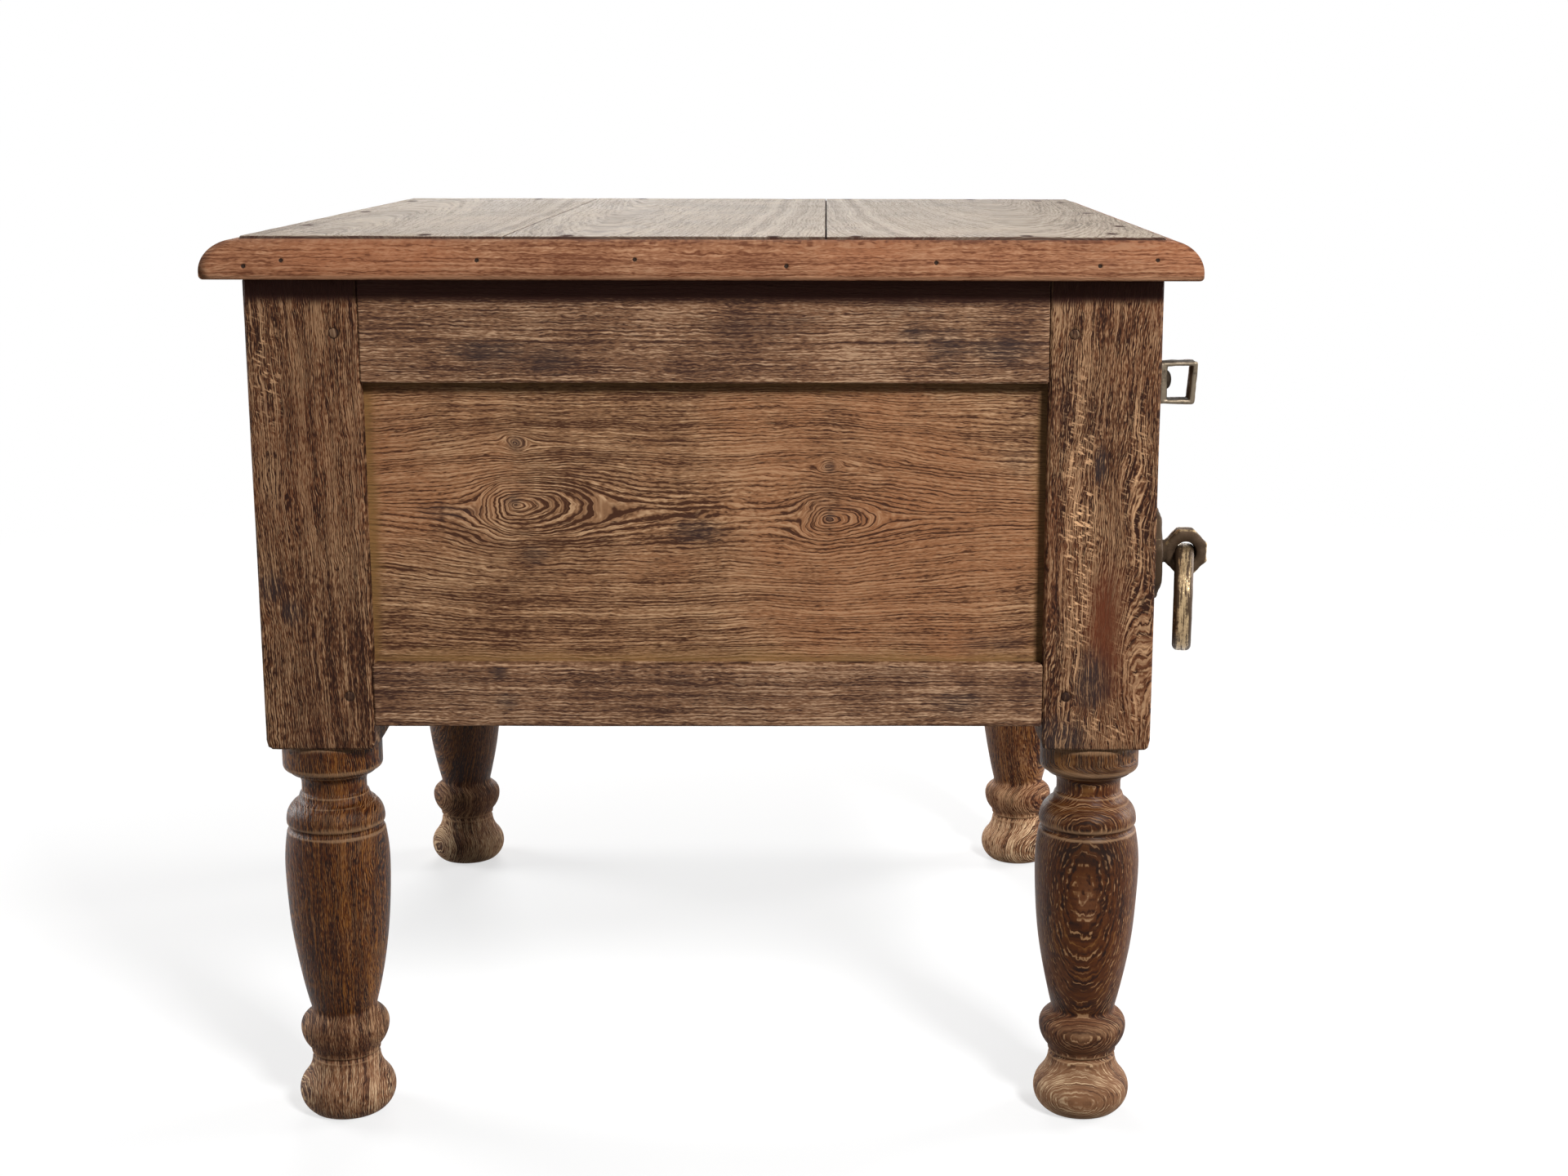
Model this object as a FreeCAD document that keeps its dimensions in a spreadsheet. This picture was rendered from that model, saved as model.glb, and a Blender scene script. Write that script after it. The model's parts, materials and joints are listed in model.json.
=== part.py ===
"""Lowboy: a low teak chest with one deep lipped drawer on turned legs.

Frame: +X along the front, -Y out of the front, +Z up, millimetres.
The origin is on the floor, under the centre of the whole object's box.
"""
import FreeCAD, Part
import math
import os
from types import SimpleNamespace

import Sketcher

SIZES = (
    # case
    ("case_length", 640, "outside of the posts, left to right"),
    ("case_width", 600, "outside of the posts, front to back"),
    ("post_size", 74, "side of the square posts"),
    ("post_arris", 1.5, "flat worn on the corners of the posts"),
    ("post_bottom", 275, "underside of the square part of a post"),
    ("post_top", 593.5, "top of the posts, where the boards lie"),
    # rails and panels
    ("rail_thickness", 32, "side, back and front rails"),
    ("top_rail_height", 68.5, "side and back rails under the top"),
    ("low_rail_bottom", 292, "underside of the lower rails"),
    ("low_rail_height", 43, "side and back lower rails"),
    ("front_top_rail_height", 40, "rail over the drawer"),
    ("front_low_rail_height", 26, "rail under the drawer"),
    ("panel_set", 12, "from the face of the frame back to the panel"),
    ("panel_thickness", 12, "flat panels"),
    ("panel_play", 1.5, "room for a panel to swell, at each edge"),
    ("groove_depth", 10, "panel grooves in rails and posts"),
    ("groove_play", 0.2, "groove wider than the panel"),
    # joints of the frame
    ("tenon_set", 10, "from the face of a rail back to its tenon"),
    ("tenon_thickness", 12, "tenons of the rails"),
    ("tenon_length", 38, "tenons of the rails"),
    ("tenon_shoulder", 9, "shoulder at a tenon's plain edge"),
    ("tenon_haunch", 13.5, "shoulder at the top of the posts"),
    ("mortise_play", 0.2, "mortise larger than its tenon, all round"),
    ("peg_diameter", 6.6, "pegs through the tenons"),
    ("peg_inset", 16, "from the shoulder to a peg"),
    ("peg_length", 33, "pegs, and the depth of their holes"),
    ("peg_sunk", 0.4, "pegs lie under the face of the post"),
    ("peg_play", 0.05, "peg hole larger than its peg, in radius"),
    # turned legs, from the top down, as heights over the floor and radii
    ("quirk", 1, "small steps that set the turned forms apart"),
    ("collar_radius", 34.5, "disc under the square post"),
    ("collar_low", 252, "underside of the disc"),
    ("collar_round", 5, "rounding of the disc's lower edge"),
    ("neck_radius", 22.4, "neck under the disc"),
    ("neck_cove", 7, "hollow between disc and neck"),
    ("neck_low", 236.5, "lower end of the neck"),
    ("shoulder_root", 24.4, "radius where the shoulder starts"),
    ("shoulder_radius", 34, "widest part of the shoulder"),
    ("shoulder_height", 218, "height of the shoulder's widest part"),
    ("shoulder_low", 214.5, "lower edge of the shoulder"),
    ("quirk_radius", 32.4, "groove between shoulder and vase"),
    ("quirk_low", 211.5, "lower edge of that groove"),
    ("vase_lip_height", 210, "upper edge of the vase"),
    ("vase_radius", 36.4, "widest part of the vase"),
    ("vase_height", 184, "height of the vase's widest part"),
    ("ankle_radius", 22.8, "thinnest part of the vase"),
    ("ankle_height", 78, "height of the vase's lower end"),
    ("ankle_band", 2, "plain band under the vase"),
    ("bead_root", 25, "radius where the bead starts"),
    ("bead_radius", 31, "widest part of the bead"),
    ("bead_height", 61.5, "middle of the bead"),
    ("bead_half", 12.5, "half the height of the bead"),
    ("foot_neck", 41.5, "height of the neck over the foot"),
    ("foot_radius", 34, "widest part of the foot"),
    ("foot_height", 16, "height of the foot's widest part"),
    ("sole_radius", 26, "flat underside of the foot"),
    # top
    ("board_thickness", 27, "boards of the top"),
    ("board_round", 2.5, "rounding of the boards' upper edges"),
    ("front_board_width", 221, "board over the drawer front"),
    ("middle_board_width", 209, "board in the middle"),
    ("board_gap", 0.6, "open joint between two boards"),
    ("mould_width", 22, "moulding, outwards from the case"),
    ("mould_height", 25, "moulding, up from the posts' top"),
    ("mould_round", 20, "radius of the quarter round"),
    ("mould_arris", 1.2, "lower outer edge of the moulding"),
    ("mitre_gap", 0.2, "open line of a mitre, on each moulding"),
    # runners
    ("runner_reach", 24, "runner, inwards from the posts"),
    ("guide_width", 16, "guide strips beside the drawer"),
    ("guide_height", 20, "guide strips beside the drawer"),
    ("kicker_height", 20, "kickers over the drawer sides"),
    # drawer
    ("lip_overlap", 9, "drawer lip over the frame, all round"),
    ("lip_proud", 9, "face of the drawer in front of the posts"),
    ("lip_gap", 0.4, "between the lip and the posts"),
    ("lip_round", 5, "rounding of the lip's edge"),
    ("front_inside", 13, "drawer front behind the posts' face"),
    ("drawer_side_gap", 2, "beside the drawer, on each side"),
    ("drawer_low_gap", 0.5, "between the drawer and its runners"),
    ("drawer_top_gap", 3, "between the drawer and the rail over it"),
    ("drawer_back_gap", 8, "behind the drawer"),
    ("drawer_side_thickness", 14, "sides of the drawer"),
    ("drawer_back_thickness", 13, "back of the drawer"),
    ("drawer_bottom_thickness", 8, "bottom board of the drawer"),
    ("drawer_bottom_set", 10, "from the sides' lower edge up to the bottom"),
    ("housing_depth", 5, "grooves and housings in the drawer"),
    ("housing_play", 0.2, "those grooves wider than their board"),
    ("back_inset", 12, "sides run on behind the drawer's back"),
    ("tail_length", 10, "dovetails of the drawer sides"),
    ("tail_root", 22, "dovetail's width at its root"),
    ("tail_flare", 4, "how much wider a dovetail's end is, each way"),
    ("tail_pitch", 54, "from one dovetail to the next"),
    ("tail_play", 0.15, "socket larger than its dovetail"),
    # pulls
    ("pull_inset", 41, "from the end of the drawer front to a pull"),
    ("pull_height", 393.5, "middle of a pull over the floor"),
    ("plate_radius", 34.5, "corners of the eight-sided back plate"),
    ("plate_thickness", 7, "back plate"),
    ("plate_chamfer", 2.2, "edge of the back plate"),
    ("plate_turn", 12, "back plate turned on its stem, degrees"),
    ("neck_length", 4, "between back plate and knob"),
    ("pull_neck_radius", 8, "neck of the knob"),
    ("knob_depth", 31, "knob, outwards"),
    ("knob_height", 33, "knob, up and down"),
    ("knob_width", 14, "knob, along the front"),
    ("knob_corner", 10, "cut corners that make the knob eight-sided"),
    ("knob_chamfer", 2, "edges of the knob's flat ends"),
    ("eye_radius", 8.7, "hole for the ring through the knob"),
    ("eye_flare", 2, "worn mouth of that hole"),
    ("stem_radius", 4, "stem through the drawer front"),
    ("stem_play", 0.1, "stem hole larger than the stem"),
    ("nut_width", 17, "square nut inside the drawer"),
    ("nut_thickness", 6, "square nut inside the drawer"),
    ("nut_turn", 14, "nuts left askew, degrees"),
    ("washer_radius", 13, "washer under the nut"),
    ("washer_thickness", 1.6, "washer under the nut"),
    ("stem_end", 2, "stem past the nut"),
    ("ring_outer_radius", 38.6, "ring of a pull"),
    ("ring_band", 13.6, "ring, across its band"),
    ("ring_thickness", 10.5, "ring, inside to outside"),
    ("ring_round", 4.2, "rounding of the ring's section"),
    ("ring_skew", 8.8, "how far askew a ring hangs, degrees"),
    # staples
    ("staple_inset", 20, "from the end of the case to a staple"),
    ("staple_width", 18, "strap of the staple"),
    ("staple_reach", 27, "staple, outwards from the post"),
    ("staple_height", 29, "staple, up and down"),
    ("staple_middle", 523.5, "middle of the staple over the floor"),
    ("staple_web", 7, "forged web against the post"),
    ("staple_bar", 3.4, "outer bar"),
    ("staple_strap", 2.8, "upper and lower straps"),
    ("staple_round", 2.4, "outer corners of the loop"),
    ("rivet_head_radius", 6.5, "domed rivet head"),
    ("rivet_head_height", 3.4, "domed rivet head"),
    ("rivet_radius", 2.4, "rivet's shank"),
    ("rivet_depth", 26, "shank inside the post"),
    ("rivet_play", 0.05, "rivet holes larger than the shank"),
    ("rivet_rise", 1.5, "rivet over the middle of the staple"),
)


class Size:
    """A length that keeps its value and the spreadsheet formula it comes from."""

    def __init__(self, formula, value):
        self.formula = formula
        self.value = value

    def join(self, sign, other, value):
        """The formula of two terms joined by a sign, with its value."""
        return Size(f"({self.formula} {sign} {as_size(other).formula})", value)

    def __add__(self, other):
        return self.join("+", other, self.value + as_size(other).value)

    def __sub__(self, other):
        return self.join("-", other, self.value - as_size(other).value)

    def __mul__(self, other):
        return self.join("*", other, self.value * as_size(other).value)

    def __truediv__(self, other):
        return self.join("/", other, self.value / as_size(other).value)

    def __neg__(self):
        return Size(f"(0 - {self.formula})", -self.value)


def as_size(number):
    """A Size as it is, or a plain number as a Size."""
    return number if isinstance(number, Size) else Size(repr(number), number)


def write_sheet(document):
    """Put every driving dimension in the spreadsheet and return them by name."""
    sheet = document.addObject("Spreadsheet::Sheet", "Sizes")
    for row, (alias, number, meaning) in enumerate(SIZES, 1):
        sheet.set(f"A{row}", alias)
        sheet.set(f"B{row}", str(number))
        sheet.set(f"C{row}", meaning)
        sheet.setAlias(f"B{row}", alias)
    document.recompute()
    return SimpleNamespace(**{alias: Size(f"Sizes.{alias}", number) for alias, number, meaning in SIZES})


doc = FreeCAD.newDocument("Lowboy")
size = write_sheet(doc)

# ---------------------------------------------------------------- shared places
half_length = size.case_length / 2
pull_reach = size.lip_proud + size.plate_thickness + size.neck_length + size.knob_depth
case_shift = (pull_reach - size.mould_width) / 2
front = case_shift - size.case_width / 2
back = case_shift + size.case_width / 2
side_span = size.case_width - size.post_size * 2
front_span = size.case_length - size.post_size * 2
top_rail_bottom = size.post_top - size.top_rail_height
low_rail_top = size.low_rail_bottom + size.low_rail_height
opening_low = size.low_rail_bottom + size.front_low_rail_height
opening_high = size.post_top - size.front_top_rail_height
opening_half = front_span / 2
drawer_half = opening_half - size.drawer_side_gap
drawer_low = opening_low + size.drawer_low_gap
drawer_high = opening_high - size.drawer_top_gap
drawer_face = front - size.lip_proud
drawer_inner = front + size.front_inside
drawer_end = back - size.rail_thickness - size.drawer_back_gap
ring_mean_radius = size.ring_outer_radius - size.ring_thickness / 2
eye_y = drawer_face - size.plate_thickness - size.neck_length - size.knob_depth / 2
pull_x = opening_half + size.lip_overlap - size.pull_inset
staple_x = half_length - size.staple_inset - size.staple_width / 2

# each side of the case seen from outside: its left corner, the turn that brings a piece there,
# and its length between the posts
SIDES = {
    "front": (-half_length, front, 0, front_span),
    "right": (half_length, front, 90, side_span),
    "back": (half_length, back, 180, front_span),
    "left": (-half_length, back, 270, side_span),
}


def on_side(side, along, inwards):
    """Row X and Y of a point given along a side from its left corner, and inwards from its face."""
    x, y, turn, span = SIDES[side]
    return {
        "front": (x + along, y + inwards),
        "right": (x - inwards, y + along),
        "back": (x - along, y - inwards),
        "left": (x + inwards, y - along),
    }[side]


# ---------------------------------------------------------------- drawing helpers
def bind(thing, name, length):
    """Bind a property to a Size's formula."""
    thing.setExpression(name, as_size(length).formula)


def place(thing, x, y, z, axis=(0, 0, 1), turn=0):
    """Turn a sub-part about an axis, in plain or bound degrees, and bind the place of its origin."""
    angle = as_size(turn)
    turned = FreeCAD.Rotation(FreeCAD.Vector(*axis), angle.value)
    thing.Placement = FreeCAD.Placement(FreeCAD.Vector(), turned)
    if isinstance(turn, Size):
        bind(thing, "Placement.Rotation.Angle", angle)
    bind(thing, "Placement.Base.x", x)
    bind(thing, "Placement.Base.y", y)
    bind(thing, "Placement.Base.z", z)


def add_body(label, x, y, z, axis=(0, 0, 1), turn=0):
    """An empty body with its own label and place."""
    body = doc.addObject("PartDesign::Body", label)
    body.Label = label
    place(body, x, y, z, axis, turn)
    return body


def add_sketch(body, role, offset=0):
    """A sketch on one of the body's own origin planes, moved along the plane's normal."""
    plane = next(item for item in body.Origin.OriginFeatures if item.Role == role)
    sketch = body.newObject("Sketcher::SketchObject", "Outline")
    sketch.AttachmentSupport = [(plane, "")]
    sketch.MapMode = "FlatFace"
    bind(sketch, "AttachmentOffset.Base.z", offset)
    return sketch


def pin(sketch, curve, end, point):
    """Hold one end of a curve at a point that the sheet gives."""
    for axis, length in zip(("DistanceX", "DistanceY"), point):
        length = as_size(length)
        index = sketch.addConstraint(Sketcher.Constraint(axis, -1, 1, curve, end, length.value))
        bind(sketch, f"Constraints[{index}]", length)


def arc_between(start, end, radius, side):
    """The short arc of that radius between two points, bulging to the left (1) or right (-1)."""
    chord = end - start
    middle = (start + end) * 0.5
    across = FreeCAD.Vector(-chord.y, chord.x, 0)
    across.normalize()
    rise = math.sqrt(max(radius ** 2 - chord.Length ** 2 / 4, 0))
    centre = middle - across * rise * side
    top = centre + across * radius * side
    return Part.Arc(start, top, end)


def draw(sketch, corners):
    """A closed outline. A corner is (x, y), or (x, y, radius, side) where an arc leads up to it."""
    points = [FreeCAD.Vector(as_size(c[0]).value, as_size(c[1]).value, 0) for c in corners]
    first = last = None
    for index, corner in enumerate(corners):
        start, end = points[index - 1], points[index]
        if len(corner) == 4:
            radius = as_size(corner[2])
            arc = arc_between(start, end, radius.value, corner[3])
            curve = sketch.addGeometry(arc)
            held = sketch.addConstraint(Sketcher.Constraint("Radius", curve, radius.value))
            bind(sketch, f"Constraints[{held}]", radius)
            near_start = sketch.getPoint(curve, 1).distanceToPoint(start)
            near_end = sketch.getPoint(curve, 1).distanceToPoint(end)
            ends = (1, 2) if near_start < near_end else (2, 1)
        else:
            curve = sketch.addGeometry(Part.LineSegment(start, end))
            ends = (1, 2)
        if first is None:
            first = (curve, ends[0])
        else:
            sketch.addConstraint(Sketcher.Constraint("Coincident", last[0], last[1], curve, ends[0]))
        last = (curve, ends[1])
        pin(sketch, curve, ends[1], corner[:2])
    sketch.addConstraint(Sketcher.Constraint("Coincident", last[0], last[1], first[0], first[1]))


def draw_circle(sketch, x, y, radius):
    """A circle whose centre and radius the sheet gives."""
    middle = FreeCAD.Vector(as_size(x).value, as_size(y).value, 0)
    radius = as_size(radius)
    curve = sketch.addGeometry(Part.Circle(middle, FreeCAD.Vector(0, 0, 1), radius.value))
    held = sketch.addConstraint(Sketcher.Constraint("Radius", curve, radius.value))
    bind(sketch, f"Constraints[{held}]", radius)
    pin(sketch, curve, 3, (x, y))


def rectangle(x_range, y_range):
    """The corners of an upright rectangle."""
    (x_low, x_high), (y_low, y_high) = x_range, y_range
    return [(x_low, y_low), (x_high, y_low), (x_high, y_high), (x_low, y_high)]


PLANES = {"x": ("YZ_Plane", 1), "y": ("XZ_Plane", -1), "z": ("XY_Plane", 1)}


def extrude(body, kind, axis, span, outlines):
    """Pad or Pocket outlines along +axis over a span; outlines are corner lists or (x, y, radius)."""
    role, facing = PLANES[axis]
    low, high = span
    sketch = add_sketch(body, role, as_size(low) * facing)
    for outline in outlines:
        if isinstance(outline, list):
            draw(sketch, outline)
        else:
            draw_circle(sketch, *outline)
    feature = body.newObject(f"PartDesign::{kind}", kind)
    feature.Profile = sketch
    feature.Reversed = (kind == "Pad") == (facing < 0)
    bind(feature, "Length", as_size(high) - low)
    sketch.Visibility = False
    return feature


def add_block(body, x_range, y_range, z_range):
    """A rectangular block added to the body."""
    return extrude(body, "Pad", "z", z_range, [rectangle(x_range, y_range)])


def cut_block(body, x_range, y_range, z_range):
    """A rectangular hollow cut from the body."""
    return extrude(body, "Pocket", "z", z_range, [rectangle(x_range, y_range)])


def cut_hole(body, axis, span, x, y, radius):
    """A round hole along an axis; x and y are in that axis's sketch plane."""
    return extrude(body, "Pocket", axis, span, [(x, y, radius)])


def revolve(body, role, axis_name, corners):
    """Revolve an outline about the sketch's own H_Axis or V_Axis."""
    sketch = add_sketch(body, role)
    draw(sketch, corners)
    feature = body.newObject("PartDesign::Revolution", "Turned")
    feature.Profile = sketch
    feature.ReferenceAxis = (sketch, [axis_name])
    feature.Angle = 360
    return feature


def dress(body, kind, amount, chosen):
    """Fillet or Chamfer the edges of the body that a test picks by their end points."""
    doc.recompute()
    base = body.Tip
    names = []
    for index, edge in enumerate(base.Shape.Edges, 1):
        if chosen([vertex.Point for vertex in edge.Vertexes]):
            names.append(f"Edge{index}")
    feature = body.newObject(f"PartDesign::{kind}", kind)
    feature.Base = (base, names)
    bind(feature, "Radius" if kind == "Fillet" else "Size", amount)
    return feature


def repeat_upwards(body, feature, pitch, count):
    """Repeat the last feature up the body's own Z axis."""
    axis = next(item for item in body.Origin.OriginFeatures if item.Role == "Z_Axis")
    pattern = body.newObject("PartDesign::LinearPattern", "Row")
    pattern.Originals = [feature]
    pattern.Direction = (axis, [""])
    pattern.Occurrences = count
    bind(pattern, "Length", as_size(pitch) * (count - 1))
    body.Tip = pattern
    return pattern


def near(value, target):
    """True where a coordinate of an edge is at a Size's value."""
    return abs(value - as_size(target).value) < 0.01


# ---------------------------------------------------------------- frame of the case
# a rail: the height of its underside, its height, and its lower and upper tenon shoulders
side_rails = {
    "top": (top_rail_bottom, size.top_rail_height, size.groove_depth, size.tenon_haunch),
    "low": (size.low_rail_bottom, size.low_rail_height, size.tenon_shoulder, size.groove_depth),
}
front_rails = {
    "top": (opening_high, size.front_top_rail_height, size.tenon_shoulder, size.tenon_haunch),
    "low": (size.low_rail_bottom, size.front_low_rail_height, size.tenon_shoulder, size.tenon_shoulder),
}
tenon_back = size.tenon_set + size.tenon_thickness
panel_back = size.panel_set + size.panel_thickness


def tenon_span(rail):
    """Lowest and highest point of a rail's tenon, over the floor."""
    bottom, height, low_shoulder, high_shoulder = rail
    return bottom + low_shoulder, bottom + height - high_shoulder


def peg_height(rail):
    """Height of the peg in the middle of a tenon."""
    low, high = tenon_span(rail)
    return (low + high) / 2


def arc_radius(run, depth):
    """Radius of an arc that starts along its run and has moved off it by depth at the end."""
    return (run * run + depth * depth) / (depth * 2)


def turn_leg(body):
    """The turned leg under the square post, as one revolved outline about the post's axis."""
    foot_waist = size.ankle_radius + size.quirk
    cove_top = size.neck_radius + size.neck_cove
    bead_low = size.bead_height - size.bead_half
    bead_high = size.bead_height + size.bead_half
    sole_curve = arc_radius(size.foot_height, size.foot_radius - size.sole_radius)
    foot_curve = arc_radius(size.foot_neck - size.foot_height, size.foot_radius - foot_waist)
    bead_curve = arc_radius(size.bead_half, size.bead_radius - size.bead_root)
    vase_curve = arc_radius(size.vase_height - size.ankle_height, size.vase_radius - size.ankle_radius)
    lip_curve = arc_radius(size.vase_lip_height - size.vase_height, size.vase_radius - size.shoulder_radius)
    shoulder_curve = arc_radius(size.neck_low - size.shoulder_height,
                                size.shoulder_radius - size.shoulder_root)
    revolve(body, "XZ_Plane", "V_Axis", [
        (0, 0),
        (size.sole_radius, 0),
        (size.foot_radius, size.foot_height, sole_curve, -1),
        (foot_waist, size.foot_neck, foot_curve, -1),
        (size.ankle_radius, size.foot_neck + size.quirk),
        (size.ankle_radius, bead_low - size.quirk),
        (size.bead_root, bead_low),
        (size.bead_root, bead_high, bead_curve, -1),
        (size.ankle_radius, size.ankle_height - size.ankle_band),
        (size.ankle_radius, size.ankle_height),
        (size.vase_radius, size.vase_height, vase_curve, -1),
        (size.shoulder_radius, size.vase_lip_height, lip_curve, -1),
        (size.quirk_radius, size.quirk_low),
        (size.quirk_radius, size.shoulder_low - size.quirk),
        (size.shoulder_radius, size.shoulder_low),
        (size.shoulder_radius, size.shoulder_height),
        (size.shoulder_root, size.neck_low, shoulder_curve, -1),
        (size.neck_radius, size.neck_low),
        (size.neck_radius, size.collar_low - size.neck_cove),
        (cove_top, size.collar_low, size.neck_cove, 1),
        (size.collar_radius - size.collar_round, size.collar_low),
        (size.collar_radius, size.collar_low + size.collar_round, size.collar_round, -1),
        (size.collar_radius, size.post_bottom),
        (0, size.post_bottom),
    ])


def cut_joint(body, rails, on_x_face, panelled):
    """Mortises, peg holes and panel groove for the rails that meet one inner face of a post."""
    half = size.post_size / 2
    edge = (tenon_back + size.mortise_play - half, size.tenon_set - size.mortise_play - half)
    across = (edge[1], edge[0])
    deep = (half - size.tenon_length - size.mortise_play, half)
    peg_along = half - size.peg_inset
    for rail in rails.values():
        low, high = tenon_span(rail)
        rise = (low - size.mortise_play, high + size.mortise_play)
        cut_block(body, *((deep, across) if on_x_face else (across, deep)), rise)
        bore = (-half, size.peg_length - half)
        radius = size.peg_diameter / 2 + size.peg_play
        cut_hole(body, "y" if on_x_face else "x", bore, peg_along, peg_height(rail), radius)
    if panelled:
        groove = (size.panel_set - half, panel_back + size.groove_play - half)
        depth = (half - size.groove_depth, half)
        rise = (low_rail_top - size.groove_depth, top_rail_bottom + size.groove_depth)
        cut_block(body, *((depth, groove) if on_x_face else (groove, depth)), rise)


def add_leg(label, side, x_rails, y_rails, rivet_face=None):
    """A post and turned leg in one piece; its own +X and +Y point into the case."""
    half = size.post_size / 2
    x, y = on_side(side, half, half)
    body = add_body(label, x, y, 0, turn=SIDES[side][2])
    turn_leg(body)
    flat = half - size.post_arris
    square = [(-flat, -half), (flat, -half), (half, -flat), (half, flat),
              (flat, half), (-flat, half), (-half, flat), (-half, -flat)]
    extrude(body, "Pad", "z", (size.post_bottom, size.post_top), [square])
    cut_joint(body, x_rails, True, x_rails is side_rails)
    cut_joint(body, y_rails, False, y_rails is side_rails)
    if rivet_face:
        along = size.staple_inset + size.staple_width / 2 - half
        depth = (-half, size.rivet_depth - half)
        radius = size.rivet_radius + size.rivet_play
        cut_hole(body, rivet_face, depth, along, size.staple_middle + size.rivet_rise, radius)


def add_rail(label, side, rail, groove):
    """A rail with a tenon at each end, bored for its pegs; groove is "under", "over" or None."""
    bottom, height, low_shoulder, high_shoulder = rail
    x, y = on_side(side, size.post_size, 0)
    span = SIDES[side][3]
    body = add_body(label, x, y, bottom, turn=SIDES[side][2])
    add_block(body, (0, span), (0, size.rail_thickness), (0, height))
    tenon = (low_shoulder, height - high_shoulder)
    for ends in ((-size.tenon_length, 0), (span, span + size.tenon_length)):
        add_block(body, ends, (size.tenon_set, tenon_back), tenon)
    if groove:
        rise = (0, size.groove_depth) if groove == "under" else (height - size.groove_depth, height)
        cut_block(body, (0, span), (size.panel_set, panel_back + size.groove_play), rise)
    radius = size.peg_diameter / 2 + size.peg_play
    middle = peg_height(rail) - bottom
    holes = [(-size.peg_inset, middle, radius), (span + size.peg_inset, middle, radius)]
    extrude(body, "Pocket", "y", (0, size.rail_thickness), holes)


def add_panel(label, side):
    """A flat panel that floats in the grooves of its frame."""
    x, y = on_side(side, size.post_size, size.panel_set)
    reach = size.groove_depth - size.panel_play
    body = add_body(label, x, y, low_rail_top - reach, turn=SIDES[side][2])
    height = top_rail_bottom - low_rail_top + reach * 2
    add_block(body, (-reach, SIDES[side][3] + reach), (0, size.panel_thickness), (0, height))


def add_pegs():
    """All pegs of the frame, one group of separate solids."""
    pegs = []
    for side, (x, y, turn, span) in SIDES.items():
        for rail in (front_rails if side == "front" else side_rails).values():
            for along in (size.post_size - size.peg_inset, size.post_size + span + size.peg_inset):
                peg = doc.addObject("Part::Cylinder", "Peg")
                bind(peg, "Radius", size.peg_diameter / 2)
                bind(peg, "Height", size.peg_length - size.peg_sunk)
                inwards = {"front": (-1, 0, 0), "right": (0, -1, 0), "back": (1, 0, 0), "left": (0, 1, 0)}
                place(peg, *on_side(side, along, size.peg_sunk), peg_height(rail), inwards[side], 90)
                pegs.append(peg)
    group = doc.addObject("Part::Compound", "joint_pegs")
    group.Links = pegs
    group.Label = "joint_pegs"


# ---------------------------------------------------------------- top
def add_board(label, y_low, y_high):
    """One board of the top, its outer upper edges rounded by wear."""
    body = add_body(label, -half_length, y_low, size.post_top)
    width = y_high - y_low
    add_block(body, (0, size.case_length), (0, width), (0, size.board_thickness))
    sides = [0, size.case_length]

    def worn(points):
        top = all(near(point.z, size.board_thickness) for point in points)
        at_end = any(all(near(point.x, end) for point in points) for end in sides)
        outer = (y_low is front and all(near(point.y, 0) for point in points)) or (
            y_high is back and all(near(point.y, width) for point in points))
        return top and (at_end or outer)

    dress(body, "Fillet", size.board_round, worn)


def add_moulding(label, side):
    """A quarter-round moulding planted on one side of the top and mitred at both ends."""
    x, y, turn, span = SIDES[side]
    length = span + size.post_size * 2
    body = add_body(label, x, y, size.post_top, turn=turn)
    wide, tall, curve, arris = size.mould_width, size.mould_height, size.mould_round, size.mould_arris
    profile = [(0, 0), (0, tall), (curve - wide, tall), (-wide, tall - curve, curve, -1),
               (-wide, arris), (arris - wide, 0)]
    extrude(body, "Pad", "x", (-wide, length + wide), [profile])
    gap = size.mitre_gap / 2
    beyond = length + wide * 2
    left = [(gap, 0), (-wide * 2, 0), (-wide * 2, -wide), (gap - wide, -wide)]
    right = [(length - gap, 0), (length + wide - gap, -wide), (beyond, -wide), (beyond, 0)]
    extrude(body, "Pocket", "z", (0, tall), [left, right])


# ---------------------------------------------------------------- runners
def add_runner_set(label, sign):
    """Runner, guide and kicker of one side; sign is -1 on the left."""
    turn = 0 if sign > 0 else 180
    inner_depth = size.case_width - size.rail_thickness * 2
    start = front + size.rail_thickness if sign > 0 else back - size.rail_thickness
    bay = size.post_size - size.rail_thickness
    reach = size.runner_reach

    runner = add_body(f"drawer_runner_{label}", opening_half * sign, start, size.low_rail_bottom, turn=turn)
    notched = [(-reach, 0), (0, 0), (0, bay), (bay, bay),
               (bay, inner_depth - bay), (0, inner_depth - bay), (0, inner_depth), (-reach, inner_depth)]
    extrude(runner, "Pad", "z", (0, size.front_low_rail_height), [notched])

    guide = add_body(f"drawer_guide_{label}", opening_half * sign, start, opening_low, turn=turn)
    add_block(guide, (0, size.guide_width), (bay, inner_depth - bay), (0, size.guide_height))

    kicker = add_body(f"drawer_kicker_{label}", opening_half * sign, start, opening_high, turn=turn)
    add_block(kicker, (-reach, 0), (0, inner_depth), (0, size.kicker_height))


# ---------------------------------------------------------------- drawer
TAILS = 4
drawer_height = drawer_high - drawer_low
tail_start = (drawer_height - size.tail_pitch * (TAILS - 1)) / 2
bottom_low = size.drawer_bottom_set
bottom_high = bottom_low + size.drawer_bottom_thickness


def tail_outline(play):
    """Lowest dovetail of a side, in the plane of the side, with its end towards -Y."""
    root = size.tail_root / 2 + play
    end = root + size.tail_flare
    return [(0, tail_start - root), (0, tail_start + root),
            (-size.tail_length - play, tail_start + end), (-size.tail_length - play, tail_start - end)]


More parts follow.
